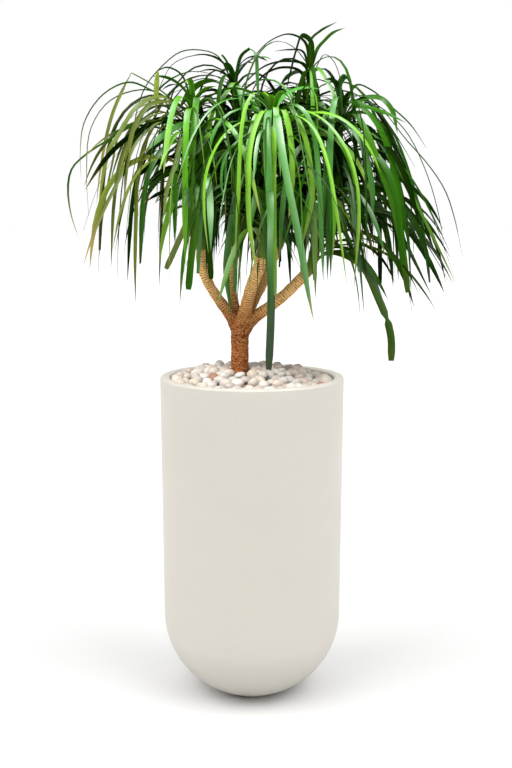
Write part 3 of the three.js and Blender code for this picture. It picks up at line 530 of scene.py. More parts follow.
def bowl_arc(radius, start_height, end_height, steps):
    """Radius and height of each ring of the round bowl, between two heights."""
    start = math.asin((start_height - BOWL_CENTRE_HEIGHT) / radius)
    end = math.asin((end_height - BOWL_CENTRE_HEIGHT) / radius)
    arc = []
    for i in range(steps + 1):
        turn = start + (end - start) * i / steps
        arc.append((POT_LOW_RADIUS - BOWL_RADIUS + radius * math.cos(turn),
                    BOWL_CENTRE_HEIGHT + radius * math.sin(turn)))
    return arc


def rim_edge(centre, side, steps):
    """The rounded outer (side 1) or inner (side -1) edge of the rim."""
    turns = [math.pi / 2 * i / steps for i in range(steps + 1)]
    if side < 0:
        turns.reverse()
    return [(centre + side * RIM_ROUNDING * math.cos(turn),
             POT_HEIGHT - RIM_ROUNDING + RIM_ROUNDING * math.sin(turn)) for turn in turns]


def planter_profile():
    """Radius and height of each ring, from the foot up the outside and down the inside."""
    inner = POT_RADIUS - RIM_WIDTH
    return [*FOOT_EDGE, *bowl_arc(BOWL_RADIUS, BOWL_START, BOWL_CENTRE_HEIGHT, 30),
            *((outer_radius_at(level), level) for level in STRAIGHT_LEVELS),
            *rim_edge(POT_RADIUS - RIM_ROUNDING, 1, 6),
            *rim_edge(inner + RIM_ROUNDING, -1, 6),
            *((inner, level) for level in RIM_INNER_LEVELS),
            (outer_radius_at(INNER_WALL_TOP) - WALL, INNER_WALL_TOP),
            *bowl_arc(BOWL_RADIUS - WALL, BOWL_CENTRE_HEIGHT, FLOOR, 10)]


def turned(name, foot_radius, profile, sides):
    """A disc drawn up ring by ring in edit mode, as on a wheel."""
    deselect()
    bpy.ops.mesh.primitive_circle_add(vertices=sides, radius=foot_radius, fill_type="NGON",
                                      location=(0, 0, 0))
    piece = bpy.context.object
    piece.name = name
    bpy.ops.object.mode_set(mode="EDIT")
    bpy.ops.mesh.select_all(action="SELECT")
    radius, height = foot_radius, 0.0
    for next_radius, next_height in profile:
        bpy.ops.mesh.extrude_region_move(
            TRANSFORM_OT_translate={"value": (0, 0, next_height - height)})
        scale = next_radius / radius
        bpy.ops.transform.resize(value=(scale, scale, 1), center_override=(0, 0, next_height))
        radius, height = next_radius, next_height
    bpy.ops.mesh.select_all(action="SELECT")
    bpy.ops.mesh.normals_make_consistent(inside=False)
    bpy.ops.object.mode_set(mode="OBJECT")
    return piece


def glaze_material(settings):
    """Satin glaze, cloudy and finely speckled, with painted shade that darkens it toward the
    foot.
    """
    material, tree, shader = blank_material("satin_glaze")
    here = tree.nodes.new("ShaderNodeTexCoord").outputs["Object"]
    broad = ranged(tree, cloud(tree, here, 5.0, 2.0), 0.35, 0.65, 0.0, 1.0)
    fine = ranged(tree, cloud(tree, here, 160.0, 4.0, 0.6), 0.4, 0.7, 0.0, 1.0)
    glaze = tuple(settings.glaze)
    shade = tuple(value * 0.985 for value in glaze)
    colour = mixed(tree, broad, shade, glaze)
    speck = mixed(tree, ranged(tree, fine, 0.72, 1.0, 0.0, 0.35), colour,
                  tuple(value * 0.88 for value in glaze))
    # Painted shade: the glaze goes to 0.6 of its colour toward the foot, where the bowl is
    # shaded near the floor.
    height = add_node(tree, "ShaderNodeSeparateXYZ", Vector=here).outputs["Z"]
    low = mixed(tree, ranged(tree, height, 0.0, 0.16, 1.0, 0.0), speck,
                tuple(value * 0.6 for value in glaze))
    tree.links.new(low, shader.inputs["Base Color"])
    tree.links.new(ranged(tree, broad, 0, 1, settings.sheen - 0.04, settings.sheen + 0.05),
                   shader.inputs["Roughness"])
    shader.inputs["Coat Weight"].default_value = 0.12
    shader.inputs["Coat Roughness"].default_value = 0.3
    bump(tree, shader, fine, 0.05, 0.0008)
    return material


class PALM_OT_planter(bpy.types.Operator):
    """Turns the planter and gives it a satin glaze"""
    bl_idname = "palm.planter"
    bl_label = "Planter"

    def execute(self, context):
        settings = context.scene.palm_planter
        piece = turned("planter_glazed", FOOT_RADIUS, planter_profile(), POT_SIDES)
        across = settings.radius / POT_RADIUS
        up = settings.height / POT_HEIGHT
        set_places(piece.data, places(piece.data) * (across, across, up))
        only(piece)
        bpy.ops.object.shade_smooth_by_angle(angle=math.radians(32))
        settled(piece, "planter", glaze_material(settings))
        return {"FINISHED"}


# Soil and pebbles.
def soil_material(settings):
    """Dark crumbly soil."""
    material, tree, shader = blank_material("potting_soil_crumb")
    here = tree.nodes.new("ShaderNodeTexCoord").outputs["Object"]
    crumb = cloud(tree, here, 240.0, 6.0, 0.7)
    dark = tuple(value * 0.35 for value in settings.soil)
    tree.links.new(mixed(tree, ranged(tree, crumb, 0.35, 0.65, 0, 1), dark,
                         tuple(settings.soil)), shader.inputs["Base Color"])
    shader.inputs["Roughness"].default_value = 0.95
    bump(tree, shader, crumb, 0.9, 0.004)
    return material


def bed_height(x, y):
    """Height of the pebble bed, which is heaped up behind the trunk."""
    away = math.hypot(x - MOUND_CENTRE[0], y - MOUND_CENTRE[1]) / MOUND_REACH
    return BED_TOP + BED_MOUND * max(0.0, 1.0 - away)


def model_stones(count):
    """A few rounded stones, a little uneven, with a half length of one."""
    stones = []
    for i in range(count):
        deselect()
        bpy.ops.mesh.primitive_ico_sphere_add(subdivisions=2, radius=1, location=(0, 0, 0))
        stone = bpy.context.object
        stone.name = f"stone_{i}"
        bpy.ops.object.mode_set(mode="EDIT")
        bpy.ops.mesh.select_all(action="SELECT")
        bpy.ops.transform.vertex_random(offset=0.16, seed=11 + i)
        bpy.ops.mesh.vertices_smooth(factor=0.5, repeat=1)
        bpy.ops.object.mode_set(mode="OBJECT")
        shape = places(stone.data)
        shape -= (shape.max(0) + shape.min(0)) / 2
        set_places(stone.data, shape / np.abs(shape).max(0))
        stones.append(stone)
    return stones


def stone_material():
    """Matt stone in the tint that each pebble carries, with dark grains."""
    material, tree, shader = blank_material("river_pebble")
    here = tree.nodes.new("ShaderNodeTexCoord").outputs["Object"]
    tint = attribute(tree, "stone_tint", "Color")
    cloudy = ranged(tree, cloud(tree, here, 95.0, 4.0, 0.6), 0.35, 0.7, 0.0, 1.0)
    shaded = mixed(tree, cloudy, (0.74, 0.70, 0.66), (1.0, 1.0, 1.0))
    colour = mixed(tree, 1.0, tint, shaded, "MULTIPLY")
    grain = cloud(tree, here, 900.0, 5.0, 0.7)
    colour = mixed(tree, ranged(tree, grain, 0.58, 0.75, 0.0, 0.5), colour, (0.36, 0.29, 0.23))
    tree.links.new(colour, shader.inputs["Base Color"])
    tree.links.new(ranged(tree, cloudy, 0, 1, 0.72, 0.55), shader.inputs["Roughness"])
    bump(tree, shader, grain, 0.35, 0.0008)
    return material


def stone_places(spacing, draw):
    """Centres of the stones, and whether each lies low: a lower layer in the gaps of an upper
    one, off the trunk, and a ring of each along the wall."""
    trunk = Vector([value * MM for value in TRUNK_PLACE])
    spots = []
    rows = int(0.2 / spacing) + 2
    for layer in (0, 1):
        for row in range(-rows, rows + 1):
            for column in range(-rows, rows + 1):
                x = (column + (row % 2) * 0.5 + layer * 0.5) * spacing
                y = (row + layer * 0.33) * spacing * 0.866
                x += (draw.random() - 0.5) * spacing * 0.4
                y += (draw.random() - 0.5) * spacing * 0.4
                lift = draw.random()
                spot = Vector((x, y))
                if spot.length > BED_REACH:
                    continue
                away = spot - trunk
                if away.length < TRUNK_CLEARANCE:
                    if layer == 0 or away.length < 0.02:
                        continue
                    spot = trunk + away.normalized() * TRUNK_CLEARANCE
                drop = LAYER_DROP if layer == 0 else 0.0
                spots.append((spot.x, spot.y, bed_height(spot.x, spot.y) + 0.010 - drop
                              + (lift - 0.5) * UNEVEN, layer == 0))
    count = int(math.tau * WALL_RING / spacing * 1.02)
    for layer in (0, 1):
        for i in range(count):
            turn = (i + 0.3 * draw.random() + 0.5 * layer) / count * math.tau
            x, y = WALL_RING * math.cos(turn), WALL_RING * math.sin(turn)
            spots.append((x, y, bed_height(x, y) + 0.014 - LAYER_DROP * layer
                          + (draw.random() - 0.5) * UNEVEN, layer == 1))
    return spots


def laid_stone(model, spot, length, draw):
    """A copy of a stone, turned at its place, and how far each point is on its underside, for
    the painted shade there.
    """
    mesh = model.data.copy()
    half = length / 2 * (0.8 + 0.32 * draw.random())
    size = (half, half * (0.78 + 0.2 * draw.random()), half * (0.66 + 0.2 * draw.random()))
    turn = Euler((draw.gauss(0, 0.42), draw.gauss(0, 0.42),
                  draw.random() * math.tau)).to_matrix()
    shape = places(mesh) * size @ np.array(turn).T
    # Painted shade: how far each point lies on the underside, where the stones shade each
    # other.
    painted_underside_shade = np.clip(0.3 - shape[:, 2] / size[2], 0, 1)[:, None]
    shape += (*spot[:2], min(spot[2], HIGHEST_STONE - size[2]))
    outer = np.hypot(shape[:, 0], shape[:, 1])
    shape[:, :2] *= np.minimum(1.0, BED_LIMIT / np.maximum(outer, 1e-6))[:, None]
    shape[:, 2] = np.clip(shape[:, 2], *BED_LEVELS)
    set_places(mesh, shape)
    return mesh, painted_underside_shade


class PALM_OT_bed(bpy.types.Operator):
    """Fills the planter: crumbly soil under a layer of rounded pebbles"""
    bl_idname = "palm.bed"
    bl_label = "Soil and pebbles"

    def execute(self, context):
        settings = context.scene.palm_bed
        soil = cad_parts["potting_soil"]
        soil.data.materials.clear()
        soil.data.materials.append(soil_material(settings))
        draw = random.Random(settings.seed)
        models = model_stones(STONE_MODELS)
        stones = []
        for *spot, low in stone_places(settings.stone_length * 0.96, draw):
            mesh, painted_underside_shade = laid_stone(draw.choice(models), spot, settings.stone_length, draw)
            tint = np.array(getattr(settings, chosen(draw, STONE_SHARES)))
            # Painted shade: stones of the lower layer are darkened to 0.42 and each underside
            # by up to 0.62, as the gaps lie in shade; the first factor varies the tone at
            # random.
            light = (0.68 + 0.2 * draw.random()) * (0.42 if low else 1.0)
            paint(mesh, "stone_tint", tint * light * (1 - 0.62 * painted_underside_shade))
            stone = bpy.data.objects.new("stone", mesh)
            context.collection.objects.link(stone)
            stones.append(stone)
        for model in models:
            bpy.data.objects.remove(model)
        piece = joined(stones, "pebble_bed")
        bpy.ops.object.shade_smooth()
        settled(piece, "pebbles", stone_material())
        return {"FINISHED"}


# Paths in space, in millimetres.
def curve_values(points, shares):
    """Points on a centripetal curve through the given points, by share of the parameter."""
    points = np.asarray(points, float)
    count = len(points)
    before = np.vstack([2 * points[0] - points[1], points, 2 * points[-1] - points[-2]])
    place = np.asarray(shares) * (count - 1)
    index = np.minimum(place.astype(int), count - 2)
    weight = (place - index)[:, None]
    a, b, c, d = (before[index + k] for k in range(4))

    def gap(first, second):
        return np.sqrt(np.linalg.norm(second - first, axis=1))[:, None]

    ab, bc, cd = gap(a, b), gap(b, c), gap(c, d)
    start = ((b - a) / ab - (c - a) / (ab + bc) + (c - b) / bc) * bc
    end = ((c - b) / bc - (d - b) / (bc + cd) + (d - c) / cd) * bc
    square = -3 * b + 3 * c - 2 * start - end
    cube = 2 * b - 2 * c + start + end
    return b + start * weight + square * weight ** 2 + cube * weight ** 3


def even_points(points, shares):
    """Points on the same curve by share of its length."""
    steps = np.linspace(0, 1, 201)
    fine = curve_values(points, steps)
    marks = marks_along(fine)
    return curve_values(points, np.interp(np.asarray(shares) * marks[-1], marks, steps))


def smooth_path(points, steps):
    """The same curve cut into even steps."""
    return even_points(points, np.linspace(0, 1, steps + 1))


def marks_along(path):
    """Length of the path up to each of its points."""
    return np.concatenate([[0], np.cumsum(np.linalg.norm(np.diff(path, axis=0), axis=1))])


def unit(vector):
    """The same direction with a length of one."""
    return vector / np.linalg.norm(vector)


def branch_end(index):
    """Where a branch ends and which way it goes there."""
    path = np.array(BRANCHES[index][2], float)
    return path[-1], unit(path[-1] - path[-2])


def shoot_axis(index):
    """The middle line of a shoot, which goes on from the end of its branch."""
    end, ahead = branch_end(index)
    return [end + ahead * 0.3, end + ahead * 14, *map(np.array, SHOOTS[index][3])]


# Wood.
def wooden_rod(centres, radii, sides):
    """A round rod along a line, made as a curve with a thickness at each point."""
    curve = bpy.data.curves.new("rod", "CURVE")
    curve.dimensions = "3D"
    curve.bevel_depth = 1.0
    curve.bevel_resolution = max(0, sides // 4 - 1)
    curve.use_fill_caps = True
    line = curve.splines.new("POLY")
    line.points.add(len(centres) - 1)
    for point, centre, radius in zip(line.points, centres, radii):
        point.co = (*(np.asarray(centre) * MM), 1.0)
        point.radius = radius * MM
    rod = bpy.data.objects.new("rod", curve)
    bpy.context.collection.objects.link(rod)
    only(rod)
    bpy.ops.object.convert(target="MESH")
    bpy.ops.object.mode_set(mode="EDIT")
    bpy.ops.mesh.select_all(action="SELECT")
    bpy.ops.mesh.remove_doubles(threshold=1e-6)
    bpy.ops.mesh.normals_make_consistent(inside=False)
    bpy.ops.object.mode_set(mode="OBJECT")
    return bpy.context.object


def bark_material(settings):
    """Bark, from the rough brown trunk to the pale branches with their dark rings."""
    material, tree, shader = blank_material("ringed_bark")
    here = tree.nodes.new("ShaderNodeTexCoord").outputs["Object"]
    age, ring = attribute(tree, "wood_age"), attribute(tree, "wood_ring")
    patch = ranged(tree, cloud(tree, here, 42.0, 4.0, 0.6), 0.3, 0.7, 0.0, 1.0)
    fine = cloud(tree, here, 280.0, 3.0, 0.6)
    coarse = cloud(tree, here, 190.0, 4.0, 0.6)
    colour = mixed(tree, age, tuple(settings.trunk), tuple(settings.branch))
    worn = mixed(tree, 1.0, colour, (0.62, 0.56, 0.52), "MULTIPLY")
    colour = mixed(tree, ranged(tree, patch, 0, 1, 0.45, 0.0), colour, worn)
    rough = product(tree, ranged(tree, coarse, 0.40, 0.54, 1.0, 0.0),
                    ranged(tree, age, 0.0, 0.5, 1.0, 0.2))
    scar = mixed(tree, age, tuple(settings.scar), tuple(value * 2.8 for value in settings.scar))
    colour = mixed(tree, rough, colour, scar)
    flake = product(tree, ranged(tree, fine, 0.50, 0.62, 0.0, 1.0),
                    ranged(tree, age, 0.0, 0.4, 0.62, 0.4))
    pale = mixed(tree, age, (0.66, 0.36, 0.16), (1.0, 0.82, 0.50))
    colour = mixed(tree, flake, colour, pale)
    groove = product(tree, ranged(tree, ring, 0.25, 0.85, 1.0, 0.0),
                     ranged(tree, age, 0.0, 0.3, 0.2, 1.0))
    colour = mixed(tree, groove, colour, scar)
    tree.links.new(colour, shader.inputs["Base Color"])
    shader.inputs["Roughness"].default_value = 0.85
    shader.inputs["Specular IOR Level"].default_value = 0.1
    bump(tree, shader, coarse, 0.7, 0.003)
    return material


class PALM_OT_wood(bpy.types.Operator):
    """Grows the ringed trunk and its five branches as one piece of wood"""
    bl_idname = "palm.wood"
    bl_label = "Trunk and branches"

    def execute(self, context):
        settings = context.scene.palm_wood
        heights, shares = zip(*TRUNK_LINE)
        levels = np.linspace(heights[0], heights[-1], WOOD_STEPS)
        swell = np.interp(levels, heights, shares)
        trunk_line = np.array([(*TRUNK_PLACE, level) for level in levels])
        rods = [wooden_rod(trunk_line, swell * TRUNK_RADIUS + TRUNK_ALLOWANCE, TRUNK_SIDES)]
        lines = [(trunk_line, levels - heights[0])]
        for first, last, path in BRANCHES:
            line = smooth_path(path, WOOD_STEPS)
            share = np.linspace(0, 1, WOOD_STEPS + 1)
            radii = first + (last - first) * np.minimum(1, share * 2.2)
            radii = radii * (1 + 0.03 * np.sin(share * 46 + first))
            rods.append(wooden_rod(line, radii + BRANCH_ALLOWANCE, BRANCH_SIDES))
            lines.append((line, marks_along(line)))
        piece = joined(rods, "ringed_wood")
        piece.data.remesh_voxel_size = settings.grain
        bpy.ops.object.voxel_remesh()
        smooth = piece.modifiers.new("worn", "SMOOTH")
        smooth.factor = 0.5
        smooth.iterations = 4
        bpy.ops.object.modifier_apply(modifier=smooth.name)
        self.carve(piece, lines, settings)
        bpy.ops.object.shade_smooth()
        settled(piece, "trunk_and_branches", bark_material(settings))
        return {"FINISHED"}

    @staticmethod
    def carve(piece, lines, settings):
        """Cuts the grooves of the leaf scars, uneven as they are, and notes them. The first
        line is the trunk's, the others are the branches'."""
        fine_points, marks, owners = [], [], []
        for number, (line, along) in enumerate(lines):
            wanted = np.linspace(0, along[-1], int(along[-1] / 1.2))
            fine_points.extend(zip(*(np.interp(wanted, along, line[:, k]) for k in range(3))))
            marks.extend(wanted)
            owners.extend([(number, along[-1])] * len(wanted))
        tree = kdtree.KDTree(len(fine_points))
        for i, point in enumerate(fine_points):
            tree.insert(Vector(point) * MM, i)
        tree.balance()
        mesh = piece.data
        normals = np.empty(len(mesh.vertices) * 3, np.float32)
        mesh.vertex_normals.foreach_get("vector", normals)
        normals = normals.reshape(-1, 3)
        shape = places(mesh)
        rings, ages, depths = (np.empty(len(shape)) for _ in range(3))
        for v, place in enumerate(map(Vector, shape)):
            _, i, _ = tree.find(place)
            number, length = owners[i]
            wander = noise.noise(place * 60 + Vector((number * 3.1, 0, 0)))
            wave = noise.noise(place * 140 + Vector((0, number * 5.3, 0)))
            spacing = settings.branch_ring if number else settings.trunk_ring
            phase = (marks[i] * MM / spacing + 0.5 * wander + 0.3 * wave) % 1.0
            rings[v] = min(1.0, 4.6 * min(phase, 1 - phase))
            depths[v] = settings.ring_depth * (1 - rings[v]) + 0.0004 * (0.5 + wave)
            if number:
                ages[v] = min(1.0, 0.04 + 1.5 * max(0.0, marks[i] / length - 0.1))
            else:
                ages[v] = 0.1 * max(0.0, (marks[i] - 190) / 95)
                depths[v] += 0.0016 * noise.noise(place * 260)
        shape -= normals * depths[:, None]
        set_places(mesh, shape)
        measure(mesh, "wood_ring", rings)
        measure(mesh, "wood_age", ages)


# Leaves.
PATH_STEPS = 96
ARCH_STEPS = 48
SHOWN_RINGS = 24
PLAIN_RINGS = 17
THINNEST = 0.6
TURN_WEIGHT = 70
FITTING_TRIES = 24
ROOM_MARGIN = 6
FEWEST_POINTS = 7
FEWEST_WHEN_CUT = 19

# Places of the front view that stay open: left, right, low and high end, and how deep the
# leaves have to lie to hang behind. The shoulder is the upper right edge of the crown.
OPEN_PLACES = ((-290, -222, 900, 1215, 500), (-190, -85, 900, 1200, 500),
               (-480, -402, 900, 1440, 500), (10, 62, 1478, 1545, 500),
               (20, 60, 820, 1330, -195))
SHOULDER = ((120, 230, 280, 366, 440), (1550, 1507, 1458, 1374, 1280))

# Kinds of further leaves, beyond those of the solid part: arching ones, steep ones with a pale
# base low on the shoot, a skirt that hangs outward, short ones inside the crown that are
# painted dark as shade, young ones that stand on the tip, and thin ones that arch out furthest.
# A pair is the least
# value and what a draw may add. "turn" sets the shoots off from each other, "wander" and
# "fan" are how far the way out varies, and "place" is the start, the reach and the power of
# the places on the shoot. "off" is how far the root stands off the middle line, by the core.
FURTHER_LEAVES = {
    "more": {"turn": 2.1, "wander": 0.6, "rise": (4, 44), "climb": 14, "arch": (0.28, 0.3),
             "drift": 1.0, "length": (360, 330), "lowest": (1040, 270),
             "deeper_shoots": (3, 4), "hang": (58, 28), "place": (0.3, 0.68, 0.8),
             "width": (7, 8), "left_width": (5, 4), "twist": 2.2},
    "rising": {"turn": 0.7, "rise": (58, 20), "arch": (0.34, 0.22), "drift": 0.9,
               "length": (300, 260), "lowest": (1080, 200), "hang": (60, 26),
               "place": (0.01, 0.36, 1), "width": (11, 7), "twist": 1.6, "off": 8},
    "skirt": {"fan": 150, "rise": (18, 40), "arch": (0.3, 0.25), "drift": 0.8,
              "length": (300, 260), "lowest": (930, 230), "hang": (56, 30),
              "place": (0.02, 0.5, 1), "width": (8, 8), "twist": 2.2, "off": 8,
              "shares": (0.3, 0.15, 0.12, 0.5, 1.0)},
    "inner": {"turn": 0.4, "rise": (-8, 56), "arch": (0.35, 0.4), "drift": 1.2,
              "length": (180, 240), "lowest": (1150, 160), "hang": (50, 34),
              "place": (0.12, 0.8, 1), "width": (11, 9), "twist": 2.6, "off": 6,
              "foremost": -200},
    "spears": {"turn": 1, "rise": (62, 24), "arch": (0.62, 0.3), "drift": 0.8,
               "length": (80, 80), "lowest": (1200, 0), "hang": (40, 0),
               "place": (0.93, 0, 1), "scatter": 0.06, "width": (9, 5), "twist": 0.8},
    "narrow": {"turn": 0.9, "rise": (22, 34), "arch": (0.4, 0.3), "drift": 0.8,
               "length": (430, 220), "lowest": (1020, 260), "hang": (66, 20),
               "place": (0.5, 0.48, 1), "width": (3.4, 2.4), "twist": 1.2},
}

# How much each tint shines, how strong a painted highlight it gets where the leaf bends over,
# how brightly the leaves are painted in each part of the crown, lighter in front and shaded at
# the back and sides, and which tints they take there; the many dark tints at the back are
# partly painted shade.
SHEEN = {"bright": 0.25, "fresh": 0.2, "middle": 0.12, "blue": 0.4, "deep": 0.04, "olive": 0.1,
         "yellow": 0.1}
PAINTED_HIGHLIGHT = {"bright": 0.4, "fresh": 0.36, "middle": 0.26, "blue": 0.62, "deep": 0.05,
         "olive": 0.2, "yellow": 0.1}
PAINTED_LIGHT_BY_PART = {"left": 0.6, "fore": 1.2, "front": 1.1, "back": 0.7, "middle": 0.95,
               "right": 0.62}
PLACE_TINTS = {
    "left": {"olive": 0.28, "deep": 0.42, "middle": 0.16, "fresh": 0.06, "yellow": 0.08},
    "fore": {"bright": 0.28, "fresh": 0.30, "middle": 0.10, "blue": 0.32},
    "front": {"bright": 0.24, "fresh": 0.28, "middle": 0.26, "blue": 0.22},
    "back": {"deep": 0.70, "middle": 0.26, "fresh": 0.04},
    "middle": {"middle": 0.40, "deep": 0.36, "fresh": 0.16, "blue": 0.08},
    "right": {"middle": 0.46, "deep": 0.34, "fresh": 0.12, "blue": 0.08},
}
# Painted shade by height: leaves low in the crown are darkened and those at the top lightened.
PAINTED_LIGHT_BY_HEIGHT = ((820, 1000, 1150, 1300, 1420), (0.3, 0.42, 0.62, 0.95, 1.15))

# Where the parts of the crown begin, across and in depth.
LEFT_PART = -185
RIGHT_PART = 190
FRONT_PART = -70
FOREMOST_PART = -135
BACK_PART = 60

# The longest leaf in front: how low its tip is, where the tips of the leaves before it are, how
# much painted shade darkens it lower down and how far it goes toward the dark green.
LONG_TIP = 900
BEFORE_LONG = (20, 70, -280)
LONG_PAINTED_SHADE = ((900, 1200), (0.5, 1.0))
LONG_DARKNESS = ((950, 1180), (0.85, 0.0))


def random_draws(seed):
    """The same draws as in the solid part."""
    state = seed & 0xFFFFFFFF
    while True:
        state = (state + 0x6D2B79F5) & 0xFFFFFFFF
        value = state
        value = ((value ^ (value >> 15)) * (value | 1)) & 0xFFFFFFFF
        step = ((value ^ (value >> 7)) * (value | 61)) & 0xFFFFFFFF
        value ^= (value + step) & 0xFFFFFFFF
        yield ((value ^ (value >> 14)) & 0xFFFFFFFF) / 4294967296


def on_front_view(point):
    """A point given as it looks on the axis plane, moved back or forth to its own depth."""
    across, depth, height = point
    scale = (VIEW_DISTANCE + depth) / VIEW_DISTANCE
    return np.array([across * scale, depth, VIEW_HEIGHT + (height - VIEW_HEIGHT) * scale])


def as_seen(path):
    """Where a path is seen from the front, measured on the axis plane."""
    scale = (VIEW_DISTANCE + path[:, 1]) / VIEW_DISTANCE
    return path[:, 0] / scale, VIEW_HEIGHT + (path[:, 2] - VIEW_HEIGHT) / scale


def leaf_of(kind, shoot, place, path, width, twist, **own):
    """All that a leaf is: its kind, its place on the shoot, its path, width and twist, and
    whether its end is blunt, where it is pinched, whether it is folded, and its tint."""
    return {"kind": kind, "shoot": shoot, "place": place, "path": path, "width": width,
            "twist": twist, "blunt": False, "waist": None, "folded": False, "tint": None, **own}


def shown_leaf(row, order):
    """A leaf that stands out in front, by its row; its root goes up or down by the order."""
    number, height, width, blunt, twist, fold, tint, points = row
    shoot = number - 1
    place = height * (1 - 0.14 * ((order * 0.618) % 1))
    root = even_points(shoot_axis(shoot), [place])[0]
    through = [root, *map(on_front_view, points)]
    path = smooth_path(through, PATH_STEPS)
    waist = None
    if fold:
        path = np.vstack([smooth_path(through[:fold + 1], PATH_STEPS // 2),
                          smooth_path(through[fold:], PATH_STEPS // 2)[1:]])
    if fold and blunt:
        waist, width, twist = 0.5, width * 1.2, twist * 2.1
    if tint in ("olive", "yellow"):
        width = width * 0.8
    to_viewer = math.copysign(math.radians(abs(twist)), path[-1, 0] - path[0, 0])
    return leaf_of("shown", shoot, place, path, width, to_viewer, blunt=bool(blunt),
                   waist=waist, folded=bool(fold), tint=tint)


def arched_path(root, form):
    """A path that rises, arches over and hangs, down to its length or its lowest height."""
    path = [np.array(root)]
    point = np.array(root)
    step = form["length"] / ARCH_STEPS
    for i in range(ARCH_STEPS):
        if point[2] <= form["lowest"]:
            break
        along = (i + 0.5) / ARCH_STEPS
        fall = 1 - math.exp(-((along / form["arch"]) ** 1.7))
        slope = form["rise"] - (form["rise"] + form.get("hang", HANG_ANGLE)) * fall
        heading = form["azimuth"] + form["drift"] * along
        point = point + step * np.array([math.cos(slope) * math.cos(heading),
                                         math.cos(slope) * math.sin(heading),
                                         math.sin(slope)])
        path.append(point)
    return np.array(path)


def within(path, low, high):
    """Whether a path keeps inside the crown and between two corners."""
    reach = np.hypot((path[:, 0] - CROWN_CENTRE[0]) / CROWN_REACH[0],
                     (path[:, 1] - CROWN_CENTRE[1]) / CROWN_REACH[1])
    return bool((reach < 1).all() and (path >= low).all() and (path <= high).all())


def fitted_path(root, form, low, high):
    """Draws the arch in until the leaf keeps within the crown and the shoot's own space."""
    path = arched_path(root, form)
    for _ in range(FITTING_TRIES):
        if within(path, low, high):
            return path
        form["arch"] *= 0.9
        form["length"] *= 0.97
        path = arched_path(root, form)
    return path if within(path, low, high) else None


def room_of(shoot):
    """Lowest and highest corner of the space that a shoot's leaves keep to."""
    low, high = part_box(f"leafy_shoot_{SHOOTS[shoot][0]}")
    return np.array(low) / MM - ROOM_MARGIN, np.array(high) / MM + ROOM_MARGIN


def leaf_by_rule(shoot, index, count, draws):
    """One of the arching leaves that the solid part has too."""
    share = (index + 0.5) / count
    place = 0.2 + 0.77 * share ** 0.8
    root = even_points(shoot_axis(shoot), [place])[0]
    form = {
        "azimuth": index * GOLDEN_ANGLE + shoot * 1.3 + (next(draws) - 0.5) * 0.5,
        "rise": math.radians(38 + 18 * share + 16 * next(draws)),
        "arch": 0.4 - 0.16 * share - 0.1 * next(draws),
        "drift": (next(draws) - 0.5) * 0.7,
        "length": 470 + 210 * next(draws),
        "lowest": 985 + 150 * next(draws),
    }
    path = fitted_path(root, form, *room_of(shoot))
    width, blunt = 10 + 6 * next(draws), next(draws) < 0.12
    twist = (next(draws) - 0.5) * 2.2
    if path is not None and above_shoulder(path):
        width = 0.5 * width
    return leaf_of("rule", shoot, place, path, width, twist, blunt=blunt)


def outward(shoot):
    """The way from the middle of the crown to the shoot."""
    x, y, _ = SHOOTS[shoot][3][1]
    return math.atan2(y - CROWN_CENTRE[1], x - CROWN_CENTRE[0])


def above_shoulder(path):
    """Whether a path is seen above the right shoulder of the crown."""
    across, height = as_seen(path)
    beside = across > SHOULDER[0][0]
    return bool((beside & (height > np.interp(across, *SHOULDER))).any())


def kept_clear(path):
    """The leaf ended where it would hang across an open place of the front view."""
    across, height = as_seen(path)
    end = len(path)
    for left, right, low, high, depth in OPEN_PLACES:
        inside = (across > left) & (across < right) & (height > low) & (height < high) \
            & (path[:, 1] < depth)
        if inside.any():
            end = min(end, int(inside.argmax()))
    return path[:end] if end >= FEWEST_WHEN_CUT else None


def further_leaf(kind, shoot, index, count, draws):
    """One more leaf of the given kind, by the row of its kind."""
    plan, share = FURTHER_LEAVES[kind], (index + 0.5) / count

    def drawn(least, more):
        return least + more * next(draws) if more else least

    def swung(range_of):
        return (next(draws) - 0.5) * range_of

    if "fan" in plan:
        azimuth = outward(shoot) + swung(math.radians(plan["fan"]))
    else:
        azimuth = index * GOLDEN_ANGLE + shoot * plan["turn"]
        if "wander" in plan:
            azimuth += swung(plan["wander"])
    lowest, above = plan["lowest"]
    if shoot in plan.get("deeper_shoots", ()):
        lowest -= 80
    form = {
        "azimuth": azimuth,
        "rise": math.radians(drawn(*plan["rise"]) + plan.get("climb", 0) * share),
        "arch": drawn(*plan["arch"]),
        "drift": swung(plan["drift"]),
        "length": drawn(*plan["length"]),
        "lowest": drawn(lowest, above),
        "hang": math.radians(drawn(*plan["hang"])),
    }
    start, reach, power = plan["place"]
    place = start + reach * share ** power + (plan["scatter"] * next(draws)
                                              if "scatter" in plan else 0)
    to_left = "left_width" in plan and math.cos(azimuth) < -0.5
    width = drawn(*plan["left_width" if to_left else "width"])
    twist = swung(plan["twist"])
    root = even_points(shoot_axis(shoot), [place])[0]
    root = root + np.array([math.cos(azimuth), math.sin(azimuth), 0]) * plan.get("off", 0)
    path = fitted_path(root, form, *room_of(shoot))
    if path is not None and path[:, 1].min() < plan.get("foremost", -math.inf):
        path = None
    if path is not None and above_shoulder(path):
        path = None
    if path is not None and kind != "narrow":
        path = kept_clear(path)
    return leaf_of(kind, shoot, place, path, width, twist)


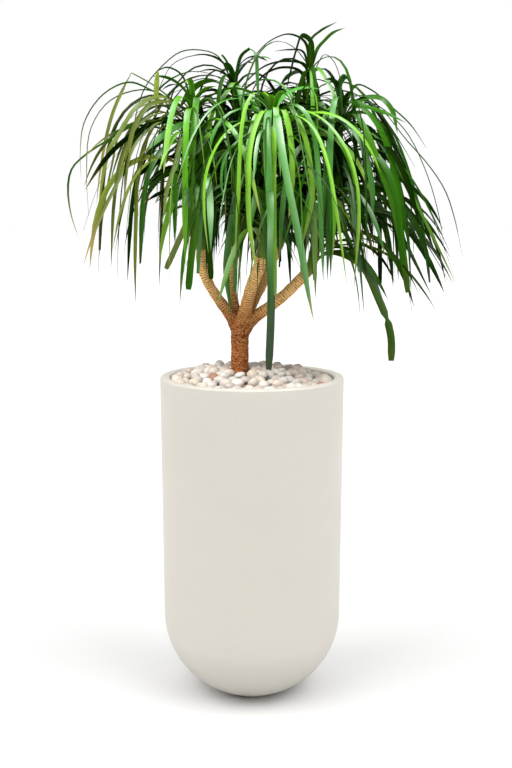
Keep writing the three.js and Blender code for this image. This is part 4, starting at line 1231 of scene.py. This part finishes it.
def leaf_plan(settings):
    """All leaves: the ones that show in front, the ones by rule, and the further ones."""
    leaves = [shown_leaf(row, order) for order, row in enumerate(SHOWN_LEAVES)]
    draws = random_draws(7)
    for index in range(settings.full - 1, -1, -1):
        for shoot in range(5):
            leaves.append(leaf_by_rule(shoot, index, settings.full, draws))
    draws = random_draws(23)
    for kind, plan in FURTHER_LEAVES.items():
        for shoot in range(5):
            count = getattr(settings, kind)
            if "shares" in plan:
                count = round(count * plan["shares"][shoot])
            leaves.extend(further_leaf(kind, shoot, index, count, draws)
                          for index in range(count))
    return [leaf for leaf in leaves
            if leaf["path"] is not None and len(leaf["path"]) >= FEWEST_POINTS]


# A plain strap: its piece, how many rings it has, and for each of its points the ring, the
# side (-1, 0 or 1) and whether it is on the upper face.
Strap = namedtuple("Strap", "piece rings ring across upper")


def model_strap(rings):
    """A four-cornered section drawn out along Y and closed at both ends."""
    deselect()
    bpy.ops.mesh.primitive_circle_add(vertices=4, radius=1, fill_type="NGON",
                                      location=(0, 0, 0), rotation=(math.pi / 2, 0, 0))
    strap = bpy.context.object
    strap.name = "strap"
    bpy.ops.object.transform_apply(location=True, rotation=True, scale=True)
    bpy.ops.object.mode_set(mode="EDIT")
    bpy.ops.mesh.select_all(action="SELECT")
    for _ in range(rings):
        bpy.ops.mesh.extrude_region_move(TRANSFORM_OT_translate={"value": (0, 1, 0)})
    bpy.ops.mesh.select_all(action="SELECT")
    bpy.ops.mesh.normals_make_consistent(inside=False)
    bpy.ops.object.mode_set(mode="OBJECT")
    shape = places(strap.data)
    ring = np.rint(shape[:, 1] - shape[:, 1].min()).astype(int)
    across = np.where(np.abs(shape[:, 0]) > 0.5, np.sign(shape[:, 0]), 0).astype(int)
    upper = np.where(across == 0, shape[:, 2] > 0, True)
    uv = strap.data.uv_layers.new(name="blade")
    for loop in strap.data.loops:
        v = loop.vertex_index
        uv.data[loop.index].uv = (across[v] * 0.5 + 0.5, ring[v] / rings)
    return Strap(strap, rings, ring, across, upper)


def frames_along(path, sideways):
    """Direction of travel and sideways vector at each point, without needless turning."""
    ahead = np.empty_like(path)
    ahead[1:-1] = path[2:] - path[:-2]
    ahead[0] = path[1] - path[0]
    ahead[-1] = path[-1] - path[-2]
    ahead /= np.linalg.norm(ahead, axis=1)[:, None]
    sides = np.empty_like(path)
    side = sideways
    for i, direction in enumerate(ahead):
        side = unit(side - direction * side.dot(direction))
        sides[i] = side
    return ahead, sides


def width_share(along, leaf):
    """Share of the full width: broad at the clasping root, pointed or blunt at the end."""
    opening = 0.72 + 0.28 * np.minimum(1, along / 0.15)
    opening = opening + 0.35 * np.exp(-along / 0.02)
    if leaf["blunt"]:
        closing = np.where(along > 0.992, 0.72, 1.0)
    else:
        closing = np.minimum(1, 3.2 * np.maximum(1 - along, 0) ** 0.8)
    share = opening * closing
    if leaf["waist"] is not None:
        share = share * (1 - 0.62 * np.exp(-((along - leaf["waist"]) / 0.018) ** 2))
    return share


def bend_strap(strap, leaf):
    """A copy of the strap laid along the leaf's path, with its gutter, keel and twist, and
    how far along the leaf each of its points is."""
    path = leaf["path"]
    steps = np.diff(path, axis=0)
    lengths = np.linalg.norm(steps, axis=1)
    heads = steps / lengths[:, None]
    turns = np.concatenate([np.arccos(np.clip((heads[1:] * heads[:-1]).sum(1), -1, 1)), [0]])
    marks = np.concatenate([[0], np.cumsum(lengths + turns * TURN_WEIGHT)])
    place = np.interp(np.linspace(0, marks[-1], strap.rings + 1), marks, np.arange(len(path)))
    heading = path[min(8, len(path) - 1)] - path[0]
    sideways = np.array([-heading[1], heading[0], 0.0])
    sideways /= max(np.linalg.norm(sideways), 1e-6)
    ahead, sides = frames_along(path, sideways)

    def sampled(values):
        return np.stack([np.interp(place, np.arange(len(path)), values[:, k])
                         for k in range(3)], axis=1)

    def turned_by(angle, direction, axis):
        return direction * np.cos(angle)[:, None] \
            + np.cross(axis, direction) * np.sin(angle)[:, None]

    centre, side, front = sampled(path), sampled(sides), sampled(ahead)
    front /= np.linalg.norm(front, axis=1)[:, None]
    side -= front * (side * front).sum(1)[:, None]
    side /= np.linalg.norm(side, axis=1)[:, None]
    along = place / (len(path) - 1)
    late = leaf["folded"] and not leaf["blunt"]
    turned = np.clip((along - 0.5) * 12, 0, 1) if late else np.minimum(1, along * 2.5)
    twist = leaf["twist"] * turned
    broad = turned_by(twist, side, front)
    up = turned_by(twist, np.cross(front, side), front)
    half = np.maximum(leaf["width"] / 2 * width_share(along, leaf), THINNEST / 2)
    gutter = half * (0.10 + 0.42 * np.exp(-along / 0.22))
    keel = np.maximum(0.55, np.minimum(1.3, half * 0.2))
    ring = strap.ring
    lift = np.where(strap.across != 0, gutter[ring], np.where(strap.upper, 0.0, -keel[ring]))
    shape = centre[ring] - broad[ring] * (half[ring] * strap.across)[:, None] \
        + up[ring] * lift[:, None]
    mesh = strap.piece.data.copy()
    set_places(mesh, shape * MM)
    return mesh, along[ring]


def side_of(path):
    """Which part of the crown a leaf hangs in."""
    x, y, _ = path.mean(0)
    if x < LEFT_PART:
        return "left"
    if y < FRONT_PART and x < RIGHT_PART:
        return "fore" if y < FOREMOST_PART else "front"
    if y > BACK_PART:
        return "back"
    return "right" if x > RIGHT_PART else "middle"


def hangs_long(leaf):
    """Whether a leaf is the longest one in front, or hangs before it and has to match it."""
    x, y, z = leaf["path"][-1]
    if leaf["kind"] == "shown":
        return z < LONG_TIP and not leaf["folded"]
    left, right, front = BEFORE_LONG
    return leaf["kind"] == "rule" and y < front and left < x < right


def toward(colours, goal, share):
    """Colours moved toward the goal by a share for each point."""
    return colours + (goal - colours) * share[:, None]


def leaf_tint(leaf, along, across, settings, draw):
    """Colours from the pale base to the tip, which may be dry, with painted light and shade and
    a painted highlight, and how much it shines.
    """
    path, kind, part = leaf["path"], leaf["kind"], side_of(leaf["path"])
    tint = chosen(draw, PLACE_TINTS[part])
    # Painted light and shade: leaves in front are painted lighter and those at the back and
    # sides darker; inner, rising and skirt leaves darker still, as they hang in the shade of
    # the crown, and the leaves before the longest one darker to match it.
    light = (0.8 + 0.35 * draw.random()) * PAINTED_LIGHT_BY_PART[part]
    if kind in ("inner", "narrow"):
        tint, light = "deep", light * (0.45 if kind == "inner" else 0.9)
    elif kind in ("rising", "skirt"):
        light *= 0.7
    tint = leaf["tint"] or tint
    if hangs_long(leaf) and kind == "rule":
        tint, light = "blue", light * 0.7

    # Painted light and shade by height, and the plain colour.
    place, marks = along * (len(path) - 1), np.arange(len(path))
    height = np.interp(place, marks, path[:, 2])
    ahead = np.gradient(path, axis=0)
    steep = np.interp(place, marks, -ahead[:, 2] / np.linalg.norm(ahead, axis=1))
    lit = np.interp(height, *PAINTED_LIGHT_BY_HEIGHT)
    deep = np.array(settings.deep)
    colours = np.tile(getattr(settings, tint), (len(along), 1))
    # Painted shade: the longest leaf, and those before it, darken lower down.
    if hangs_long(leaf):
        lit = lit * np.interp(height, *LONG_PAINTED_SHADE)
        colours = toward(colours, deep * 1.3, np.interp(height, *LONG_DARKNESS))
    colours = colours * (light * lit)[:, None]
    # Painted shade on the part of a folded leaf before its fold, where its underside shows.
    if leaf["folded"] and not leaf["blunt"]:
        colours = toward(colours, deep * 1.4, np.clip((0.5 - along) * 20, 0, 1))

    # The pale base, ageing toward the tip, and a painted highlight where the blade bends over.
    base = np.array(settings.base) * (0.7 + 0.3 * draw.random())
    low = leaf["place"] < 0.4
    paleness = np.exp(-along / (0.2 if low else 0.06)) * (0.85 if low else 0.4)
    if kind == "inner":
        paleness = paleness * 0.4
    elif hangs_long(leaf):
        paleness = paleness * 0.15
    colours = toward(colours, base, paleness)
    if tint in ("bright", "fresh", "olive"):
        ageing = np.clip((along - 0.55) / 0.45, 0, 1) * 0.8 * draw.random()
        colours = toward(colours, np.array(settings.yellow) * (light * lit)[:, None], ageing)
    # Painted highlight: a pale sheen where the blade slopes down at the bend, strongest on one
    # half of the blade.
    half = across * (1 if draw.random() < 0.5 else -1)
    shine = PAINTED_HIGHLIGHT[tint] * (0.5 + 1.1 * draw.random()) * (0.2 if kind == "inner" else 1.0)
    shine = shine * np.exp(-((steep - 0.5 - 0.35 * draw.random()) / 0.15) ** 2)
    pale = np.array(settings.painted_highlight) * np.minimum(1, light * lit)[:, None]
    colours = toward(colours, pale, np.clip(shine * (1 + 0.8 * half), 0, 1))
    # Painted light and shade: the half with the stronger highlight is painted up to 14% lighter
    # and the other half darker, as if one side of the gutter faced the light.
    colours = colours * (1 + 0.14 * half)[:, None]

    # Dry tips, more and longer on the left.
    tipped = draw.random() < (0.5 if part == "left" else 0.22) and not leaf["blunt"]
    from_tip = 0.05 + (0.28 if part == "left" else 0.08) * draw.random()
    if tipped:
        dryness = np.clip((along - (1 - from_tip)) / (from_tip * 0.8), 0, 1) * 0.85
        colours = toward(colours, np.array(settings.dry), dryness)
    sheen = SHEEN[tint] * (0.3 if kind == "inner" else 0.7 + 0.6 * draw.random())
    sheen = sheen * np.clip(light * lit.mean(), 0.1, 1) ** 1.5
    return np.clip(colours, 0, 1), sheen


def leaf_material(settings):
    """Veined leaf in the tint and with the sheen that each leaf carries."""
    material, tree, shader = blank_material("strap_leaf")
    here = tree.nodes.new("ShaderNodeTexCoord").outputs["Object"]
    tint = attribute(tree, "leaf_tint", "Color")
    across = add_node(tree, "ShaderNodeUVMap", {"uv_map": "blade"}).outputs["UV"]
    stretched = add_node(tree, "ShaderNodeMapping", Vector=across, Scale=(16.0, 1.1, 1.0))
    veins = cloud(tree, stretched.outputs["Vector"], 1.0, 4.0, 0.6)
    patch = cloud(tree, here, 26.0, 3.0)
    streak = ranged(tree, veins, 0.3, 0.7, 0.0, 1.0)
    dimmed = mixed(tree, streak, (0.66, 0.74, 0.60), (1.0, 1.0, 1.0))
    colour = mixed(tree, 1.0, tint, dimmed, "MULTIPLY")
    light = mixed(tree, ranged(tree, patch, 0.35, 0.65, 0.0, 1.0), (0.88, 0.9, 0.9),
                  (1.0, 1.0, 0.94))
    colour = mixed(tree, 1.0, colour, light, "MULTIPLY")
    tree.links.new(colour, shader.inputs["Base Color"])
    tree.links.new(ranged(tree, streak, 0, 1, settings.gloss + 0.06, settings.gloss - 0.04),
                   shader.inputs["Roughness"])
    tree.links.new(attribute(tree, "leaf_sheen"), shader.inputs["Specular IOR Level"])
    bump(tree, shader, veins, 0.25, 0.0006)
    return material


class PALM_OT_leaves(bpy.types.Operator):
    """Grows the five leafy shoots, each from its core to its leaf tips"""
    bl_idname = "palm.leaves"
    bl_label = "Leafy shoots"

    def execute(self, context):
        settings = context.scene.palm_leaves
        material = leaf_material(settings)
        fine, plain = model_strap(SHOWN_RINGS), model_strap(PLAIN_RINGS)
        draw = random.Random(3)
        grown = [[] for _ in SHOOTS]
        for leaf in leaf_plan(settings):
            strap = fine if leaf["kind"] == "shown" else plain
            mesh, along = bend_strap(strap, leaf)
            colours, sheen = leaf_tint(leaf, along, strap.across, settings, draw)
            # The keel of the underside is darkened, partly for the duller underside and partly
            # as painted shade.
            colours[(strap.across == 0) & ~strap.upper] *= settings.underside
            paint(mesh, "leaf_tint", colours)
            measure(mesh, "leaf_sheen", np.full(len(along), sheen))
            blade = bpy.data.objects.new("blade", mesh)
            context.collection.objects.link(blade)
            grown[leaf["shoot"]].append(blade)
        for strap in (fine, plain):
            bpy.data.objects.remove(strap.piece)
        for shoot, (name, base, tip, _) in enumerate(SHOOTS):
            core = self.core(shoot, base, tip, settings)
            piece = joined([core, *grown[shoot]], f"leaves_{name}")
            bpy.ops.object.shade_smooth_by_angle(angle=math.radians(62))
            settled(piece, f"leafy_shoot_{name}", material)
        return {"FINISHED"}

    @staticmethod
    def core(shoot, base, tip, settings):
        """The middle of a shoot, which its leaves grow from: a rod that tapers at its tip."""
        line = smooth_path(shoot_axis(shoot), 30)
        share = np.linspace(0, 1, 31)
        radii = base + (tip - base) * share
        radii[-12:] *= np.linspace(0.9, 0.08, 12)
        core = wooden_rod(line, radii, 16)
        height = places(core.data)[:, 2] / MM
        up = np.clip((height - height.min()) / (height.max() - height.min()), 0, 1)[:, None]
        pale, green = np.array(settings.base), np.array(settings.deep)
        paint(core.data, "leaf_tint", pale * 0.7 + (green - pale * 0.7) * np.minimum(1, up * 5))
        measure(core.data, "leaf_sheen", np.full(len(height), 0.2))
        core.data.uv_layers.new(name="blade")
        return core


# Studio.
def pale_material(settings):
    """Matt floor, a little cloudy."""
    material, tree, shader = blank_material("studio_floor")
    here = tree.nodes.new("ShaderNodeTexCoord").outputs["Object"]
    colour = tuple(settings.floor)
    soft = ranged(tree, cloud(tree, here, 1.5, 2.0), 0.3, 0.7, 0.0, 1.0)
    tree.links.new(mixed(tree, soft, tuple(value * 0.995 for value in colour), colour),
                   shader.inputs["Base Color"])
    shader.inputs["Roughness"].default_value = 0.9
    shader.inputs["Specular IOR Level"].default_value = 0.1
    return material


# Lights: azimuth, elevation and width in degrees, and the setting with their strength.
LIGHTS = {
    "left_light": (-62, 44, 50, "side"),
    "right_light": (62, 44, 50, "side"),
    "key_light": (-24, 50, 16, "key"),
    "floor_light": (0, 89, 100, "below"),
    "rim_light": (0, 87, 14, "top"),
}
LIGHT_DISTANCE = 4
FLOOR_RADIUS = 80


def broad_light(name, azimuth, elevation, width, strength):
    """An even soft light from one side; azimuth 0 is straight from the front."""
    deselect()
    turn, lift = math.radians(azimuth), math.radians(elevation)
    away = Vector((math.sin(turn) * math.cos(lift), -math.cos(turn) * math.cos(lift),
                   math.sin(lift)))
    bpy.ops.object.light_add(type="SUN", location=away * LIGHT_DISTANCE)
    lamp = bpy.context.object
    lamp.name = name
    lamp.data.angle = math.radians(width)
    lamp.data.energy = strength
    lamp.rotation_euler = away.to_track_quat("Z", "Y").to_euler()
    return lamp


class PALM_OT_stage(bpy.types.Operator):
    """Sets up the pale floor, the soft studio light and the camera"""
    bl_idname = "palm.stage"
    bl_label = "Studio"

    def execute(self, context):
        settings = context.scene.palm_stage
        deselect()
        bpy.ops.mesh.primitive_circle_add(vertices=64, radius=FLOOR_RADIUS,
                                          fill_type="NGON", location=(0, 0, 0))
        floor = context.object
        floor.name = "studio_floor"
        floor.data.materials.append(pale_material(settings))
        world = bpy.data.worlds.new("white_room")
        context.scene.world = world
        world.use_nodes = True
        tree = world.node_tree
        tree.nodes.clear()
        seen = add_node(tree, "ShaderNodeBackground", Color=(1, 1, 1, 1), Strength=1.0)
        lit = add_node(tree, "ShaderNodeBackground", Color=(1, 1, 1, 1),
                       Strength=settings.world)
        path = tree.nodes.new("ShaderNodeLightPath")
        choice = tree.nodes.new("ShaderNodeMixShader")
        tree.links.new(path.outputs["Is Camera Ray"], choice.inputs[0])
        tree.links.new(lit.outputs[0], choice.inputs[1])
        tree.links.new(seen.outputs[0], choice.inputs[2])
        end = tree.nodes.new("ShaderNodeOutputWorld")
        tree.links.new(choice.outputs[0], end.inputs["Surface"])
        lamps = {name: broad_light(name, azimuth, elevation, width,
                                   getattr(settings, strength))
                 for name, (azimuth, elevation, width, strength) in LIGHTS.items()}
        pot, stones = bpy.data.objects["planter_glazed"], bpy.data.objects["pebble_bed"]
        self.aim(lamps["key_light"], [floor, pot], "EXCLUDE")
        self.aim(lamps["floor_light"], [floor], "INCLUDE")
        self.aim(lamps["rim_light"], [pot], "INCLUDE")
        self.aim(lamps["rim_light"], [pot, stones], "INCLUDE", "blocker_collection")
        context.scene.view_settings.view_transform = "Standard"
        deselect()
        bpy.ops.object.camera_add(location=(0, -VIEW_DISTANCE * MM, VIEW_HEIGHT * MM),
                                  rotation=(math.radians(VIEW_PITCH), 0, 0))
        camera = context.object
        camera.data.lens = settings.lens
        camera.data.sensor_width = SENSOR_WIDTH
        camera.data.shift_x = VIEW_SHIFT
        context.scene.camera = camera
        return {"FINISHED"}

    @staticmethod
    def aim(lamp, pieces, state, part="receiver_collection"):
        """Lets a light fall on the given pieces alone, or on everything but them; as blockers
        they are what casts its shadows."""
        group = bpy.data.collections.new(f"{lamp.name}_{part}")
        for piece in pieces:
            group.objects.link(piece)
        for member in group.collection_objects:
            member.light_linking.link_state = state
        setattr(lamp.light_linking, part, group)


class PALM_PT_panel(bpy.types.Panel):
    """Buttons for the pieces of the palm"""
    bl_label = "Potted ponytail palm"
    bl_space_type = "VIEW_3D"
    bl_region_type = "UI"
    bl_category = "Palm"

    def draw(self, context):
        for operator in OPERATORS:
            self.layout.operator(operator.bl_idname)
        for name in SETTINGS:
            box = self.layout.box()
            group = getattr(context.scene, name)
            for key in group.__annotations__:
                box.prop(group, key)


SETTINGS = {
    "palm_planter": PALM_PG_planter,
    "palm_bed": PALM_PG_bed,
    "palm_wood": PALM_PG_wood,
    "palm_leaves": PALM_PG_leaves,
    "palm_stage": PALM_PG_stage,
}
OPERATORS = (PALM_OT_planter, PALM_OT_bed, PALM_OT_wood, PALM_OT_leaves, PALM_OT_stage)


def register():
    """Makes the settings, the operators and the panel known."""
    for made in (*SETTINGS.values(), *OPERATORS, PALM_PT_panel):
        bpy.utils.register_class(made)
    for name, group in SETTINGS.items():
        setattr(bpy.types.Scene, name, bpy.props.PointerProperty(type=group))


def unregister():
    """Takes them all away again."""
    for name in SETTINGS:
        delattr(bpy.types.Scene, name)
    for made in reversed((*SETTINGS.values(), *OPERATORS, PALM_PT_panel)):
        bpy.utils.unregister_class(made)


def main():
    """Builds the palm and its studio piece by piece."""
    register()
    bpy.ops.palm.planter()
    bpy.ops.palm.bed()
    bpy.ops.palm.wood()
    bpy.ops.palm.leaves()
    bpy.ops.palm.stage()


if __name__ == "__main__":
    main()
